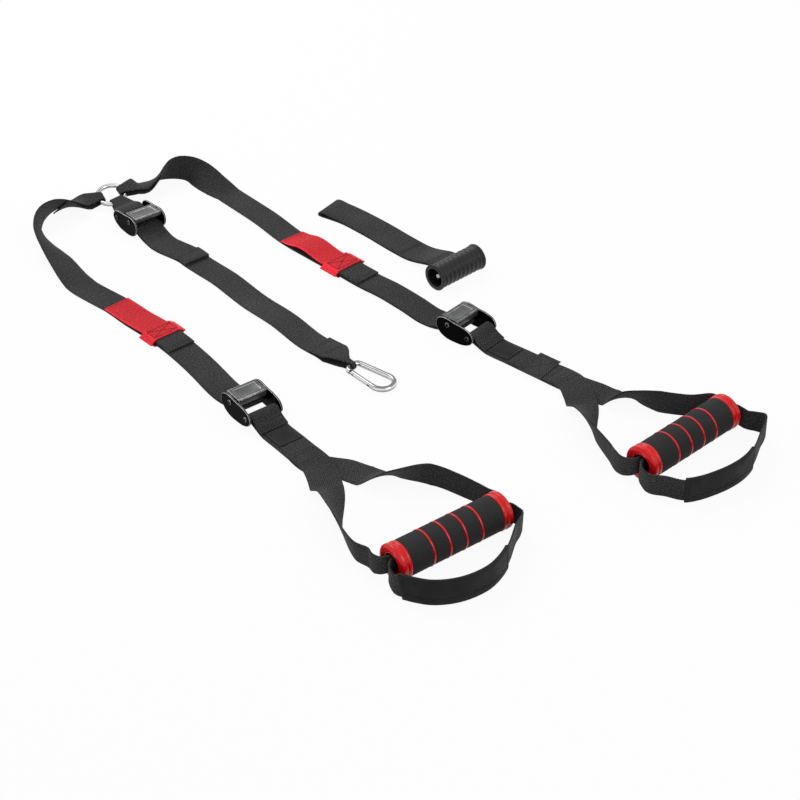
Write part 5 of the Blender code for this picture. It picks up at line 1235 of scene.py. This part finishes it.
class TRAINER_OT_stage(bpy.types.Operator):
    """Makes the floor, the light and the camera"""
    bl_idname = "trainer.stage"
    bl_label = "Stage"

    def execute(self, context):
        look, scene = context.scene.trainer_stage, context.scene
        shape = bmesh.new()
        bmesh.ops.create_grid(shape, x_segments=1, y_segments=1, size=look.floor_size / 2)
        mesh = mesh_from(shape, "floor")
        tree, shader = new_material("floor_paint")
        cloud = noise(tree, object_place(tree), 1.5)
        fill(tree, shader, {"Base Color": ramp(tree, cloud, look.floor_colour, (0.3, 0.995), (0.7, 1)),
                            "Roughness": 0.9, "Specular IOR Level": 0.1})
        rays = put(tree, "ShaderNodeLightPath")
        glow = put(tree, "ShaderNodeEmission", {"Color": WHITE, "Strength": 1.0})
        seen = calc(tree, "MAXIMUM", rays.outputs["Is Camera Ray"], rays.outputs["Is Glossy Ray"])
        both = put(tree, "ShaderNodeMixShader", {0: calc(tree, "MULTIPLY", seen, look.floor_glow),
                                                 1: shader.outputs[0], 2: glow.outputs[0]})
        output = next(node for node in tree.nodes if node.type == "OUTPUT_MATERIAL")
        fill(tree, output, {"Surface": both.outputs[0]})
        mesh.materials.append(bpy.data.materials["floor_paint"])
        stand("floor", mesh)

        world = bpy.data.worlds.new("studio")
        world.use_nodes = True
        tree = world.node_tree
        tree.nodes.clear()
        rays = put(tree, "ShaderNodeLightPath")
        even, white = (put(tree, "ShaderNodeBackground", {"Color": WHITE, "Strength": strength})
                       for strength in (look.sky, 1.0))
        seen = calc(tree, "MAXIMUM", rays.outputs["Is Camera Ray"], rays.outputs["Is Transmission Ray"])
        seen = calc(tree, "MAXIMUM", seen, rays.outputs["Is Glossy Ray"])
        both = put(tree, "ShaderNodeMixShader", {0: seen, 1: even.outputs[0], 2: white.outputs[0]})
        put(tree, "ShaderNodeOutputWorld", {"Surface": both.outputs[0]})
        scene.world = world

        for name, place, power, size in (("key_lamp", KEY_PLACE, look.key, KEY_SIZE),
                                         ("fill_lamp", FILL_PLACE, look.fill, FILL_SIZE)):
            data = bpy.data.lights.new(name, "AREA")
            data.energy, data.size = power, size
            lamp = stand(name, data)
            lamp.location = place
            lamp.rotation_euler = (-Vector(place)).to_track_quat("-Z", "Y").to_euler()

        data = bpy.data.cameras.new("camera")
        data.sensor_width, data.lens = SENSOR_WIDTH, look.lens
        camera = stand("camera", data)
        camera.location = look.camera_place
        camera.rotation_euler = (QUARTER - look.camera_pitch, 0, 0)
        scene.camera = camera
        scene.view_settings.view_transform = "Standard"
        return {"FINISHED"}


class TRAINER_PT_panel(bpy.types.Panel):
    """Lists the trainer's sizes, colours and makers"""
    bl_idname = "TRAINER_PT_panel"
    bl_label = "Suspension trainer"
    bl_space_type = "VIEW_3D"
    bl_region_type = "UI"
    bl_category = "Trainer"

    def draw(self, context):
        column = self.layout.column()
        for maker in MAKERS:
            column.operator(maker.bl_idname)
        for name in LOOKS:
            look = getattr(context.scene, name)
            for item in look.bl_rna.properties:
                if item.identifier not in ("rna_type", "name"):
                    column.prop(look, item.identifier)


LOOKS = {"trainer_stage": TrainerStage, "trainer_webbing": TrainerWebbing, "trainer_grips": TrainerGrips,
         "trainer_metal": TrainerMetal}
MAKERS = (TRAINER_OT_stage, TRAINER_OT_straps, TRAINER_OT_adjusters, TRAINER_OT_handles, TRAINER_OT_grips,
          TRAINER_OT_buckles, TRAINER_OT_ring, TRAINER_OT_door_anchor)


def register():
    for name, look in LOOKS.items():
        bpy.utils.register_class(look)
        setattr(bpy.types.Scene, name, PointerProperty(type=look))
    for maker in MAKERS:
        bpy.utils.register_class(maker)
    bpy.utils.register_class(TRAINER_PT_panel)


def unregister():
    bpy.utils.unregister_class(TRAINER_PT_panel)
    for maker in reversed(MAKERS):
        bpy.utils.unregister_class(maker)
    for name, look in LOOKS.items():
        delattr(bpy.types.Scene, name)
        bpy.utils.unregister_class(look)


def main():
    """Makes every piece in turn"""
    register()
    for maker in MAKERS:
        group, name = maker.bl_idname.split(".")
        getattr(getattr(bpy.ops, group), name)()


if __name__ == "__main__":
    main()
